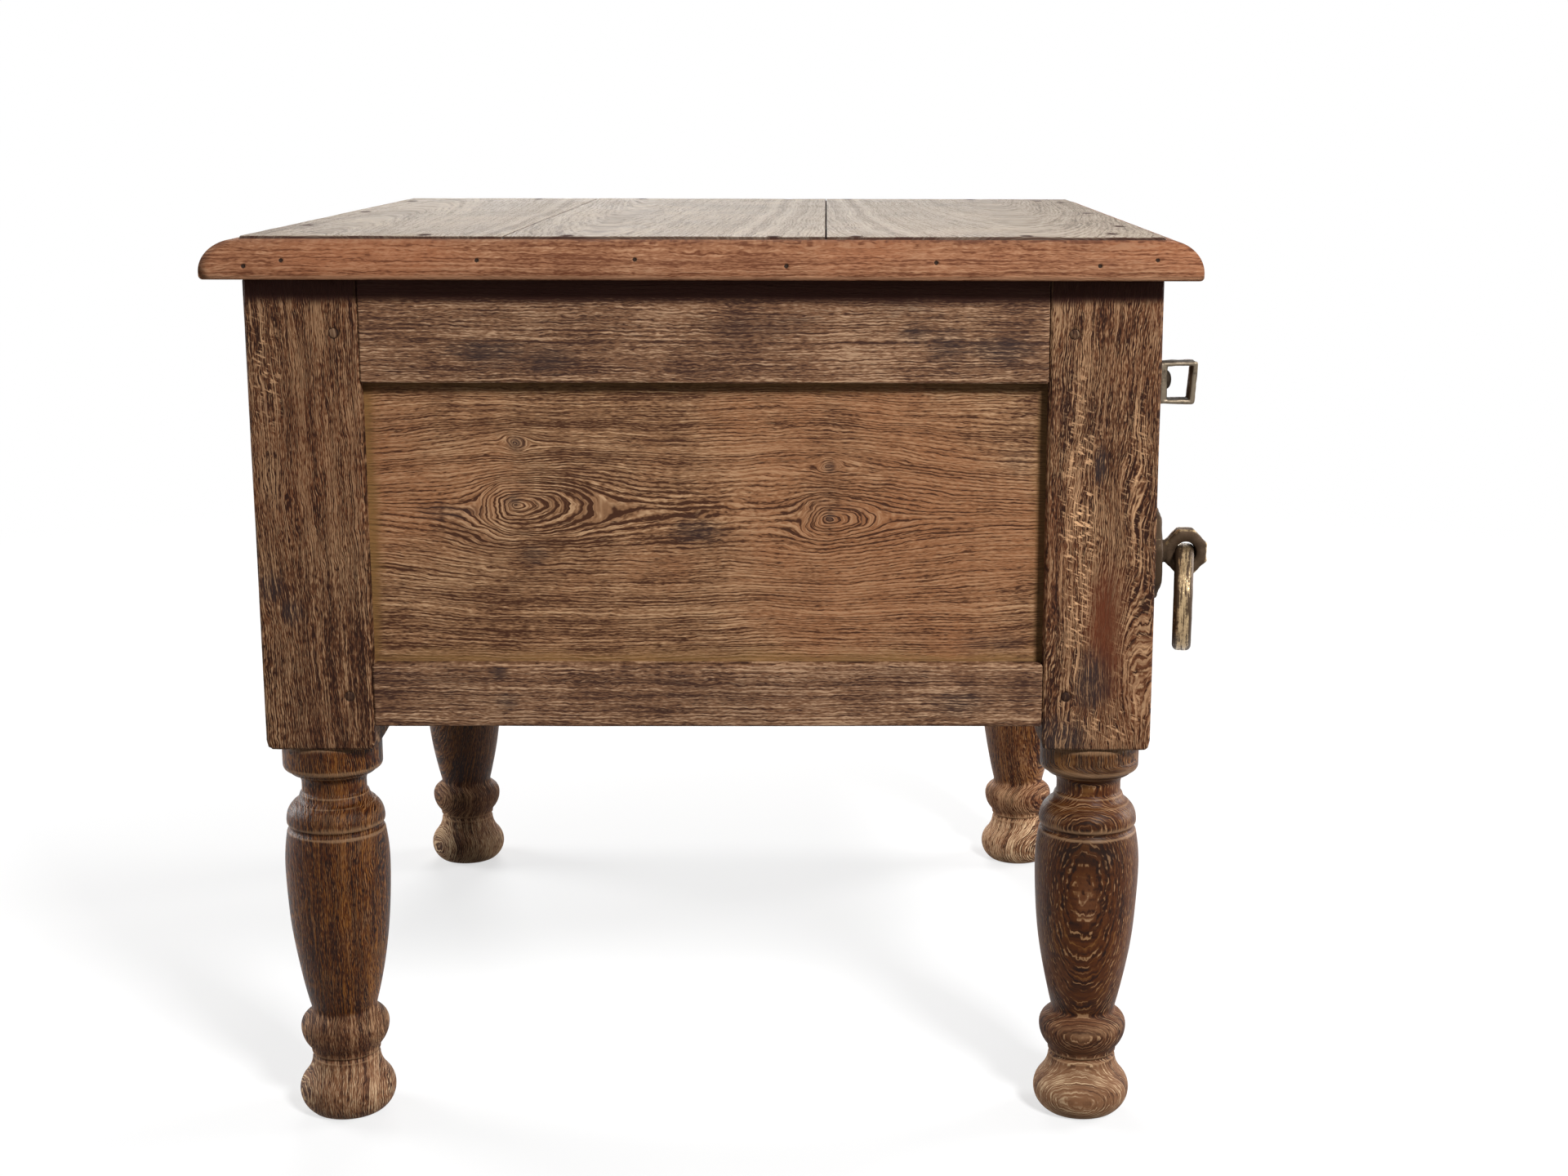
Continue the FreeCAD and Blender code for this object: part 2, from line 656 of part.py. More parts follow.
def add_drawer_front():
    """Lipped front with half-blind dovetail sockets, a groove for the bottom and two stem holes."""
    body = add_body("drawer_front", 0, drawer_inner, drawer_low)
    face = drawer_face - drawer_inner
    shoulder = front - size.lip_gap - drawer_inner
    lip_half = opening_half + size.lip_overlap
    lip_low = opening_low - size.lip_overlap - drawer_low
    lip_high = opening_high + size.lip_overlap - drawer_low
    add_block(body, (-drawer_half, drawer_half), (shoulder, 0), (0, drawer_height))
    add_block(body, (-lip_half, lip_half), (face, shoulder), (lip_low, lip_high))
    inside = drawer_half - size.drawer_side_thickness
    for span in ((-drawer_half, size.tail_play - inside), (inside - size.tail_play, drawer_half)):
        socket = extrude(body, "Pocket", "x", span, [tail_outline(size.tail_play)])
        doc.recompute()
        repeat_upwards(body, socket, size.tail_pitch, TAILS)
    reach = inside + size.housing_depth
    cut_block(body, (-reach, reach), (-size.housing_depth, 0),
              (bottom_low - size.housing_play, bottom_high + size.housing_play))
    radius = size.stem_radius + size.stem_play
    rise = size.pull_height - drawer_low
    extrude(body, "Pocket", "y", (face, 0), [(pull_x, rise, radius), (-pull_x, rise, radius)])
    dress(body, "Fillet", size.lip_round,
          lambda points: len(points) == 2 and all(near(point.y, face) for point in points))


def add_drawer_side(label, sign):
    """A drawer side with dovetails in front, a housing for the back and a groove for the bottom."""
    outer = drawer_half * sign
    inner = (drawer_half - size.drawer_side_thickness) * sign
    body = add_body(label, 0, drawer_inner, drawer_low)
    depth = drawer_end - drawer_inner
    span = (inner, outer) if sign > 0 else (outer, inner)
    extrude(body, "Pad", "z", (0, drawer_height), [rectangle(span, (0, depth))])
    tail = extrude(body, "Pad", "x", span, [tail_outline(0)])
    doc.recompute()
    repeat_upwards(body, tail, size.tail_pitch, TAILS)
    housing = inner + size.housing_depth * sign
    cut = (inner, housing) if sign > 0 else (housing, inner)
    play = size.housing_play
    cut_block(body, cut, (0, depth), (bottom_low - play, bottom_high + play))
    back_place = depth - size.back_inset
    cut_block(body, cut, (back_place - size.drawer_back_thickness - play, back_place + play),
              (bottom_high + play, drawer_height))


def add_drawer_back():
    """The back, let into the sides over the bottom board, a little lower than the sides."""
    rear = drawer_end - size.back_inset
    half = drawer_half - size.drawer_side_thickness + size.housing_depth - size.housing_play
    body = add_body("drawer_back", -half, rear - size.drawer_back_thickness, drawer_low + bottom_high)
    height = drawer_height - bottom_high - size.drawer_bottom_set
    add_block(body, (0, half * 2), (0, size.drawer_back_thickness), (0, height))


def add_drawer_bottom():
    """The bottom board, in the grooves of front and sides and under the back."""
    half = drawer_half - size.drawer_side_thickness + size.housing_depth - size.housing_play
    start = drawer_inner - size.housing_depth + size.housing_play
    body = add_body("drawer_bottom", -half, start, drawer_low + bottom_low)
    add_block(body, (0, half * 2), (0, drawer_end - start), (0, size.drawer_bottom_thickness))


# ---------------------------------------------------------------- pulls
# a quarter turn about the first brings a piece's own +Z out of the front, about the second into the case
OUTWARDS = (1, 0, 0)
INWARDS = (-1, 0, 0)
# half a square's diagonal over its side
HALF_DIAGONAL = math.sqrt(0.5)


def add_prism(name, corners, radius, height, turn):
    """A prism on a regular polygon, turned about its own axis by bound degrees."""
    prism = doc.addObject("Part::Prism", name)
    prism.Polygon = corners
    bind(prism, "Circumradius", radius)
    bind(prism, "Height", height)
    prism.Placement = FreeCAD.Placement(FreeCAD.Vector(), FreeCAD.Rotation(FreeCAD.Vector(0, 0, 1), 0))
    bind(prism, "Placement.Rotation.Angle", turn)
    return prism


def add_plate(label, x, sign):
    """Eight-sided back plate with a chamfered edge."""
    blank = add_prism("PlateBlank", 8, size.plate_radius, size.plate_thickness, size.plate_turn * sign)
    hole = doc.addObject("Part::Cylinder", "PlateHole")
    bind(hole, "Radius", size.stem_radius + size.stem_play)
    bind(hole, "Height", size.plate_thickness)
    cone = doc.addObject("Part::Cone", "PlateBevel")
    bind(cone, "Radius1", size.plate_radius + size.plate_thickness - size.plate_chamfer)
    bind(cone, "Radius2", size.plate_radius - size.plate_chamfer)
    bind(cone, "Height", size.plate_thickness)
    bevelled = doc.addObject("Part::Common", "PlateBevelled")
    bevelled.Base, bevelled.Tool = blank, cone
    plate = doc.addObject("Part::Cut", label)
    plate.Base, plate.Tool = bevelled, hole
    plate.Label = label
    place(plate, x, drawer_face, size.pull_height, OUTWARDS, 90)


def add_knob(label, x):
    """Eight-sided eye knob with its neck and stem."""
    body = add_body(label, x, drawer_face - size.plate_thickness, size.pull_height, OUTWARDS, 90)
    half_width = size.knob_width / 2
    half_height = size.knob_height / 2
    low = size.neck_length
    high = size.neck_length + size.knob_depth
    cut = size.knob_corner
    octagon = [(half_height - cut, low), (half_height, low + cut), (half_height, high - cut),
               (half_height - cut, high), (cut - half_height, high), (-half_height, high - cut),
               (-half_height, low + cut), (cut - half_height, low)]
    extrude(body, "Pad", "x", (-half_width, half_width), [octagon])
    dress(body, "Chamfer", size.knob_chamfer, lambda points: near(points[0].x, points[-1].x))
    length = size.plate_thickness - drawer_face + drawer_inner + size.washer_thickness + size.nut_thickness
    extrude(body, "Pad", "z", (0, low + size.knob_chamfer), [(0, 0, size.pull_neck_radius)])
    extrude(body, "Pad", "z", (-length - size.stem_end, 0), [(0, 0, size.stem_radius)])
    middle = low + size.knob_depth / 2
    cut_hole(body, "x", (-half_width, half_width), 0, middle, size.eye_radius)
    dress(body, "Chamfer", size.eye_flare,
          lambda points: len(points) == 1 and near(abs(points[0].x), half_width))


def add_nut(label, x, turn):
    """Square nut left askew on the stem, with its washer, inside the drawer."""
    washer = add_body(f"pull_washer_{label}", x, drawer_inner, size.pull_height, INWARDS, 90)
    hole = size.stem_radius + size.stem_play
    extrude(washer, "Pad", "z", (0, size.washer_thickness), [(0, 0, size.washer_radius), (0, 0, hole)])
    blank = add_prism("NutBlank", 4, size.nut_width * HALF_DIAGONAL, size.nut_thickness, turn + 45)
    bore = doc.addObject("Part::Cylinder", "NutBore")
    bind(bore, "Radius", hole)
    bind(bore, "Height", size.nut_thickness)
    nut = doc.addObject("Part::Cut", f"pull_nut_{label}")
    nut.Base, nut.Tool = blank, bore
    nut.Label = f"pull_nut_{label}"
    place(nut, x, drawer_inner + size.washer_thickness, size.pull_height, INWARDS, 90)


def add_ring(label, x, turn):
    """A heavy ring of rounded section, hung through the eye of its knob and a little askew."""
    body = add_body(label, x, eye_y, size.pull_height - ring_mean_radius, turn=turn)
    half = size.ring_band / 2
    low = ring_mean_radius - size.ring_thickness / 2
    high = size.ring_outer_radius
    curve = size.ring_round
    revolve(body, "YZ_Plane", "H_Axis", [
        (half - curve, low), (half, low + curve, curve, -1),
        (half, high - curve), (half - curve, high, curve, -1),
        (curve - half, high), (-half, high - curve, curve, -1),
        (-half, low + curve), (curve - half, low, curve, -1),
    ])


# ---------------------------------------------------------------- staples
def add_staple(label, x):
    """A forged strap loop standing out of the front of a post, its way through along X."""
    body = add_body(f"staple_{label}", x, front, size.staple_middle)
    half_width = size.staple_width / 2
    half_height = size.staple_height / 2
    curve = size.staple_round
    reach = -size.staple_reach
    outer = [(0, -half_height), (0, half_height), (reach + curve, half_height),
             (reach, half_height - curve, curve, -1), (reach, curve - half_height),
             (reach + curve, -half_height, curve, -1)]
    inner = rectangle((reach + size.staple_bar, -size.staple_web),
                      (size.staple_strap - half_height, half_height - size.staple_strap))
    extrude(body, "Pad", "x", (-half_width, half_width), [outer, inner])
    cut_hole(body, "y", (-size.staple_web, 0), 0, size.rivet_rise, size.rivet_radius + size.rivet_play)

    rivet = add_body(f"staple_rivet_{label}", x, front - size.staple_web,
                     size.staple_middle + size.rivet_rise, OUTWARDS, 90)
    dome = arc_radius(size.rivet_head_radius, size.rivet_head_height)
    length = size.staple_web + size.rivet_depth
    revolve(rivet, "XZ_Plane", "V_Axis", [
        (0, -length), (size.rivet_radius, -length), (size.rivet_radius, 0),
        (size.rivet_head_radius, 0), (0, size.rivet_head_height, dome, -1),
    ])


# ---------------------------------------------------------------- assembly
def build_case():
    """Legs, rails, panels, pegs, runners and top."""
    add_leg("leg_front_left", "front", front_rails, side_rails, "y")
    add_leg("leg_front_right", "right", side_rails, front_rails, "x")
    add_leg("leg_back_right", "back", side_rails, side_rails)
    add_leg("leg_back_left", "left", side_rails, side_rails)
    for side in SIDES:
        rails = front_rails if side == "front" else side_rails
        panelled = side != "front"
        add_rail(f"top_rail_{side}", side, rails["top"], "under" if panelled else None)
        add_rail(f"low_rail_{side}", side, rails["low"], "over" if panelled else None)
        if panelled:
            add_panel(f"panel_{side}", side)
        add_moulding(f"moulding_{side}", side)
    add_pegs()
    seam = front + size.front_board_width
    second = seam + size.middle_board_width
    add_board("top_board_front", front, seam - size.board_gap)
    add_board("top_board_middle", seam, second - size.board_gap)
    add_board("top_board_back", second, back)
    add_runner_set("left", -1)
    add_runner_set("right", 1)
    add_staple("left", -staple_x)
    add_staple("right", staple_x)


def build_drawer():
    """The drawer box, its two pulls and their rings."""
    add_drawer_front()
    add_drawer_side("drawer_side_left", -1)
    add_drawer_side("drawer_side_right", 1)
    add_drawer_back()
    add_drawer_bottom()
    for label, sign in (("left", -1), ("right", 1)):
        x = pull_x * sign
        add_plate(f"pull_plate_{label}", x, sign)
        add_knob(f"pull_knob_{label}", x)
        add_nut(label, x, size.nut_turn * sign)
        add_ring(f"ring_{label}", x, size.ring_skew * sign)


def sub_parts():
    """The objects that are pieces of the lowboy: labels with a small first letter."""
    return [item for item in doc.Objects if item.Label[0].islower() and hasattr(item, "Shape")]


def check():
    """Stop on any failed feature, any cut that removed nothing and any bad solid."""
    for item in doc.Objects:
        if "Invalid" in item.State or "Error" in item.State:
            raise RuntimeError(f"{item.Label} failed: {item.State}")
        if item.TypeId == "PartDesign::Pocket" and item.Shape.Volume > item.BaseFeature.Shape.Volume - 0.1:
            raise RuntimeError(f"{item.Label} cuts nothing")
    for part in sub_parts():
        if part.Shape.isNull() or not part.Shape.isValid() or not part.Shape.Solids:
            raise RuntimeError(f"{part.Label} is not a sound solid")


def write_parts():
    """One STEP file for each sub-part, named by its label."""
    os.makedirs("parts", exist_ok=True)
    for part in sub_parts():
        part.Shape.exportStep(f"parts/{part.Label}.step")


build_case()
build_drawer()
doc.recompute()
check()
write_parts()
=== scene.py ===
"""Looks of a lowboy: a low teak chest on turned legs, with one lipped drawer, two ring pulls
and two forged staples. It is laid out as an add-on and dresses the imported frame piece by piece.

Frame: +X along the front, -Y out of the front, +Z up, metres. The left end faces -X.
"""
import json
import math

import bpy
import numpy as np
from bpy.props import FloatProperty, FloatVectorProperty, PointerProperty
from bpy.types import Operator, Panel, PropertyGroup
from mathutils import Matrix, Vector


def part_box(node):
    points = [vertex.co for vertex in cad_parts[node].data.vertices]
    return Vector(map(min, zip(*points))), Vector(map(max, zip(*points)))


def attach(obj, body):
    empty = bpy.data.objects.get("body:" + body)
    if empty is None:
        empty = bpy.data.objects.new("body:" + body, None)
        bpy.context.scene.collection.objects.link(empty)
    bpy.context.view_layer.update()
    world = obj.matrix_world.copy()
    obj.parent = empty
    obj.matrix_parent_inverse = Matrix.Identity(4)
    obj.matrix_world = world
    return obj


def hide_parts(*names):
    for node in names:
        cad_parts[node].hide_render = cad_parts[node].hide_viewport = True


bl_info = {
    "name": "Lowboy",
    "version": (1, 0, 0),
    "blender": (4, 5, 0),
    "location": "3D View > Sidebar > Lowboy",
    "description": "Weathered teak, forged iron and worn brass for a low chest",
    "category": "Add Mesh",
}

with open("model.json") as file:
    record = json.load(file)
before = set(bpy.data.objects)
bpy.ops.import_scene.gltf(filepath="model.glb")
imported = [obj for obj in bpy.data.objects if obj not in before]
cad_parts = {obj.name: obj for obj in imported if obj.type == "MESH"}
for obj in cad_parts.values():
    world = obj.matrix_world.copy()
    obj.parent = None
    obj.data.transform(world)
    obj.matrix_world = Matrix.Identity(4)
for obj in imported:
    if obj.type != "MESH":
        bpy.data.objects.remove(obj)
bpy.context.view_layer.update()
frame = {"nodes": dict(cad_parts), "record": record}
NODES = frame["nodes"]
BODY_OF = {node: body for body, nodes in frame["record"]["behaviour"]["bodies"].items()
           for node in nodes}
MM = 0.001

# ------------------------------------------------------------------ places taken from the frame
CASE_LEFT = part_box("top_board_front")[0].x
CASE_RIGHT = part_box("top_board_front")[1].x
CASE_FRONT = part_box("top_board_front")[0].y
CASE_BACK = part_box("top_board_back")[1].y
POSTS_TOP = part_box("top_board_front")[0].z
POST = CASE_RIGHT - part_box("drawer_guide_right")[0].x
POST_UNDER = 275 * MM


def box_corners(node):
    """Low and high corner of a solid's box, as arrays."""
    return (np.array(corner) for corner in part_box(node))


def srgb(red, green, blue):
    """A colour given in bytes as the linear values that shaders use."""
    part = np.array([red, green, blue]) / 255
    return tuple(np.where(part <= 0.04045, part / 12.92, ((part + 0.055) / 1.055) ** 2.4))


def tint(name, description, *colour):
    """A colour property whose default is given in bytes."""
    return FloatVectorProperty(name=name, description=description, subtype="COLOR", size=3,
                               min=0, max=1, default=srgb(*colour))


def length(name, description, default):
    """A length property in metres."""
    return FloatProperty(name=name, description=description, subtype="DISTANCE", unit="LENGTH",
                         min=0, default=default, precision=5)


def angle(name, description, default):
    """An angle property in radians."""
    return FloatProperty(name=name, description=description, subtype="ANGLE", default=default)


def power(name, description, default):
    """The power of a lamp in watts."""
    return FloatProperty(name=name, description=description, unit="POWER", default=default)


# ------------------------------------------------------------------ what a user would change
class TimberColours(PropertyGroup):
    """Middle, dark and pale colour of each kind of timber, with dust and stains."""
    post: tint("Posts", "Middle colour of the posts", 110, 70, 45)
    post_dark: tint("Posts, dark", "Dark lines of the posts", 46, 22, 12)
    post_pale: tint("Posts, pale", "Filled pores of the posts", 180, 141, 105)
    # this colour also paints shade on the vases' downward faces
    varnish: tint("Varnish", "What old varnish lets through on the turned parts", 186, 156, 108)
    rail: tint("Rails", "Middle colour of the rails", 115, 82, 59)
    rail_dark: tint("Rails, dark", "Dark lines of the rails", 58, 36, 27)
    rail_pale: tint("Rails, pale", "Pale fibres of the rails", 176, 142, 112)
    panel: tint("Panels", "Middle colour of the panels", 134, 97, 68)
    panel_dark: tint("Panels, dark", "Dark lines of the panels", 64, 37, 23)
    panel_pale: tint("Panels, pale", "Pale fibres of the panels", 182, 145, 110)
    moulding: tint("Mouldings", "Middle colour of the mouldings", 137, 93, 66)
    moulding_dark: tint("Mouldings, dark", "Dark lines of the mouldings", 96, 56, 36)
    moulding_pale: tint("Mouldings, pale", "Pale fibres of the mouldings", 166, 124, 94)
    board: tint("Top", "Middle colour of the boards", 157, 142, 126)
    board_dark: tint("Top, dark", "Dark lines of the boards", 104, 88, 73)
    board_pale: tint("Top, pale", "Pale fibres of the boards", 180, 166, 148)
    inside: tint("Inside", "Middle colour of the pieces inside", 150, 118, 88)
    inside_dark: tint("Inside, dark", "Dark lines of the pieces inside", 104, 76, 52)
    inside_pale: tint("Inside, pale", "Pale fibres of the pieces inside", 184, 154, 120)
    dust: tint("Dust", "Dust and old polish in corners", 128, 96, 58)
    pale_dust: tint("Pale dust", "Dust on the feet and in the coves of the turned parts", 166, 136, 100)
    stain: tint("Stain", "Dark stains of age", 44, 34, 33)
    # painted shade: this dark colour also paints the shadow under the mouldings and the shade along the
    # boards' edges, besides old dirt and rust
    soot_and_shade: tint("Soot", "Old grime close under the mouldings", 58, 32, 26)
    worn: tint("Worn", "Where the timber is worn smooth", 106, 54, 31)
    worn_dark: tint("Worn, dark", "Fibres where it is worn smooth", 76, 37, 22)
    # painted shade: besides the nails' heads, this colour paints the shade in the ring round each peg and
    # in the sunk plugs of the top
    pit: tint("Pits", "Bottom of nail pits", 40, 27, 20)


class MetalColours(PropertyGroup):
    """Colours of the hardware."""
    iron: tint("Iron", "Forged iron of the staples", 110, 98, 82)
    iron_dark: tint("Iron, dark", "Scale and soot on iron", 50, 40, 31)
    brass: tint("Brass", "Brass where hands have rubbed it", 184, 158, 120)
    brass_dark: tint("Brass, dark", "Patina on brass", 70, 54, 39)


class WearSizes(PropertyGroup):
    """How far age has rounded and dented the pieces."""
    post_arris: length("Post arris", "Rounding of the posts' corners", 2.2 * MM)
    rail_arris: length("Rail arris", "Rounding of the rails' edges", 1.3 * MM)
    board_arris: length("Board arris", "Rounding of the boards' edges", 0.8 * MM)
    dents: length("Dents", "Depth of dents along edges", 1.4 * MM)
    ripple: length("Ripple", "Unevenness of flat faces", 0.35 * MM)
    joint_gap: length("Joint gap", "How far rails lie behind the posts' faces", 0.45 * MM)


class StageSizes(PropertyGroup):
    """The camera and the light."""
    camera_place: FloatVectorProperty(name="Camera", description="Place of the camera", size=3,
                                      subtype="XYZ", unit="LENGTH",
                                      default=(-1.82375, -0.06506, 0.70134))
    camera_pitch: angle("Pitch", "Camera, downwards", 0.2169)
    camera_yaw: angle("Yaw", "Camera, to the right", 0.0063)
    camera_roll: angle("Roll", "Camera, about its own line", 0.0023)
    focal: FloatProperty(name="Focal length", description="In picture widths", default=1.46472)
    centre_x: FloatProperty(name="Centre, across", default=0.53574,
                            description="Point that the camera looks at, in picture widths from the left")
    centre_y: FloatProperty(name="Centre, down", default=0.39204,
                            description="The same, in picture widths from the top")
    key: power("Key light", "Power of the large soft light", 98)
    fill: power("Fill light", "Power of the light from the other side", 4)
    around: power("Lights round", "Power of each light that faces the other sides", 85)
    sky: FloatProperty(name="Surround", description="Strength of the light from all round", default=0.09)


# ------------------------------------------------------------------ surfaces as whole arrays
# how finely a worn block is cut: over an arris, round a pit, and the least gap of two cuts
ARRIS_CUTS = 5
PIT_REACH, PIT_STEP = 5.5 * MM, 0.7 * MM
LEAST_GAP = 0.08 * MM


def waves(points, size, seed, terms=28):
    """Smooth noise of unit spread: the sum of plane waves about size long, in seeded directions."""
    draw = np.random.default_rng(seed)
    direction = draw.normal(size=(terms, 3))
    direction /= np.linalg.norm(direction, axis=1, keepdims=True)
    reach = 2 * np.pi / (size * draw.uniform(0.6, 1.8, size=(terms, 1)))
    phase = draw.uniform(0, 2 * np.pi, terms)
    return np.cos(points @ (direction * reach).T + phase).sum(axis=1) / math.sqrt(terms / 2)


def unevenness(noise):
    """Waves brought into the range from 0 to 1, with their tips cut off."""
    return 0.5 + 0.5 * np.clip(noise, -1, 1)


def hammer_marks(points, size, seed, depth, most=1.4):
    """Depth of hammer marks about size wide: half of the waves and a half, between 0 and most."""
    return np.clip(waves(points, size, seed) * 0.5 + 0.5, 0, most) * depth


def circle(count):
    """Angles of points spread evenly round a circle."""
    return np.arange(count) * 2 * np.pi / count


def cuts(low, high, arris, step, marks=()):
    """Where a block is cut along one axis: arris arcs at even angles, even steps, finer at marks."""
    turn = np.radians(np.linspace(45, 0, ARRIS_CUTS))
    edge = arris * (1 - np.tan(turn))
    even = np.linspace(low + arris, high - arris, max(2, int((high - low) / step) + 1))
    near = [mark + np.arange(-PIT_REACH, PIT_REACH + PIT_STEP / 2, PIT_STEP) for mark in marks]
    places = np.sort(np.concatenate([low + edge, even, high - edge, *near]))
    places = places[(places >= low) & (places <= high)]
    keep = np.concatenate([[True], np.diff(places) > LEAST_GAP])
    keep[-1] = True
    return places[keep]


def box_lattice(*axes):
    """The grid that three sets of cuts draw on a box: its points and its outward quads."""
    shape = tuple(len(places) for places in axes)
    index = np.indices(shape)
    last = np.array(shape).reshape(3, 1, 1, 1) - 1
    outside = ((index == 0) | (index == last)).any(axis=0)
    number = np.full(shape, -1)
    number[outside] = np.arange(outside.sum())
    points = np.stack([places[index[axis][outside]] for axis, places in enumerate(axes)], axis=1)
    quads = []
    for axis in range(3):
        sheets = np.moveaxis(number, axis, 0)
        for sheet, upper in ((sheets[0], False), (sheets[-1], True)):
            quad = np.stack([sheet[:-1, :-1], sheet[1:, :-1], sheet[1:, 1:], sheet[:-1, 1:]], axis=-1)
            quad = quad.reshape(-1, 4)
            quads.append(quad[:, ::-1] if upper == (axis == 1) else quad)
    return points, np.concatenate(quads)


def tube_quads(rows, columns):
    """Quads of a grid that closes on itself both ways, rows running along the tube."""
    row = np.arange(rows).reshape(-1, 1) * columns
    column = np.arange(columns)
    after = (column + 1) % columns
    row_after = np.roll(row, -1, axis=0)
    return np.stack([row + column, row + after, row_after + after, row_after + column],
                    axis=-1).reshape(-1, 4)


def lathe(profile, count):
    """A profile of (radius, height) turned about +Z, with a pole at each end, as points and faces."""
    radius, height = profile[1:-1].T
    turn = circle(count)
    rings = np.stack([np.outer(radius, np.cos(turn)), np.outer(radius, np.sin(turn)),
                      np.repeat(height[:, None], count, axis=1)], axis=-1).reshape(-1, 3)
    poles = np.array([[0, 0, profile[0, 1]], [0, 0, profile[-1, 1]]])
    column = np.arange(count)
    after = (column + 1) % count
    last = len(rings) - count
    bottom, top = np.full(count, len(rings)), np.full(count, len(rings) + 1)
    caps = np.stack([bottom, after, column, top, last + column, last + after], axis=1).reshape(-1, 3)
    faces = tube_quads(len(radius), count)[:-count].tolist() + caps.tolist()
    return np.concatenate([rings, poles]), faces


def arc(start, end, radius, side, step=0.9 * MM):
    """Points of the short arc between two points of a profile, bulging left (1) or right (-1)."""
    start, end = np.array(start), np.array(end)
    chord = end - start
    half = np.linalg.norm(chord) / 2
    across = np.array([-chord[1], chord[0]]) / (2 * half)
    centre = (start + end) / 2 - across * math.sqrt(max(radius ** 2 - half ** 2, 0)) * side
    swing = 2 * math.asin(min(1, half / radius))
    first = math.atan2(*(start - centre)[::-1])
    turn = first - side * np.linspace(0, swing, max(3, int(swing * radius / step)))
    return centre + radius * np.stack([np.cos(turn), np.sin(turn)], axis=1)


def softened(profile, step, passes):
    """A profile cut at even steps along its length, its corners eased by averaging neighbours."""
    run = np.concatenate([[0], np.cumsum(np.linalg.norm(np.diff(profile, axis=0), axis=1))])
    even = np.linspace(0, run[-1], int(run[-1] / step) + 1)
    smooth = np.stack([np.interp(even, run, profile[:, axis]) for axis in range(2)], axis=1)
    for _ in range(passes):
        smooth[1:-1] = (smooth[:-2] + 2 * smooth[1:-1] + smooth[2:]) / 4
    return smooth


def rounded_section(half_wide, half_tall, corner, count):
    """A closed rounded rectangle: four quarter circles, each with count points at even angles."""
    points = []
    for quarter, (sign_x, sign_y) in enumerate(((1, 1), (-1, 1), (-1, -1), (1, -1))):
        turn = (quarter + np.linspace(0, 1, count)) * np.pi / 2
        points.append(np.stack([(half_wide - corner) * sign_x + corner * np.cos(turn),
                                (half_tall - corner) * sign_y + corner * np.sin(turn)], axis=1))
    return np.concatenate(points)


def rounded_loop(corners, radius, flat=9, bend=6):
    """A closed outline with rounded corners: the same count of points on each side and each bend.

    At a corner the bend is a quadratic curve from one side to the other, pulled by the corner."""
    corners = np.array(corners, dtype=float)
    before = np.roll(corners, 1, axis=0) - corners
    after = np.roll(corners, -1, axis=0) - corners
    start = corners + before / np.linalg.norm(before, axis=1, keepdims=True) * radius
    end = corners + after / np.linalg.norm(after, axis=1, keepdims=True) * radius
    share = np.linspace(0, 1, bend)[None, :, None]
    rest = 1 - share
    curve = rest ** 2 * start[:, None] + 2 * share * rest * corners[:, None] + share ** 2 * end[:, None]
    along = np.linspace(0, 1, flat + 2)[1:-1][None, :, None]
    side = end[:, None] + (np.roll(start, -1, axis=0) - end)[:, None] * along
    return np.concatenate([curve, side], axis=1).reshape(-1, 2)


def make_piece(name, shells, **attributes):
    """One mesh of closed shells, each (points, faces), with named numbers kept on its points."""
    points = np.concatenate([shell[0] for shell in shells])
    faces, first = [], 0
    for shell_points, shell_faces in shells:
        plain = shell_faces.tolist() if isinstance(shell_faces, np.ndarray) else shell_faces
        faces += [[corner + first for corner in face] for face in plain]
        first += len(shell_points)
    mesh = bpy.data.meshes.new(name)
    mesh.from_pydata(points.tolist(), [], faces)
    mesh.shade_smooth()
    for key, values in attributes.items():
        layer = mesh.attributes.new(key, "FLOAT", "POINT")
        layer.data.foreach_set("value", np.asarray(values, dtype=np.float32))
    piece = bpy.data.objects.new(name, mesh)
    bpy.context.scene.collection.objects.link(piece)
    return piece


def dress(piece, material, slot, *nodes):
    """Give a new piece its finish and set it on the body of the nodes that it stands for."""
    piece.data.materials.append(material)
    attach(piece, BODY_OF[nodes[0]])
    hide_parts(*nodes)


# ------------------------------------------------------------------ worn blocks
# painted shadow, with some old dirt, starts so far below the top of the posts and is full after so far up
# from there
SHADOW_GRIME_REACH, SHADOW_GRIME_GROWS = 22 * MM, 14 * MM


def pitted(points, place, radius):
    """How far down in a round pit with a soft rim each point is: 1 / (1 + (way / radius) ** 8)."""
    away = np.linalg.norm(points - np.array(place), axis=1) / radius
    return 1 / (1 + away ** 8)


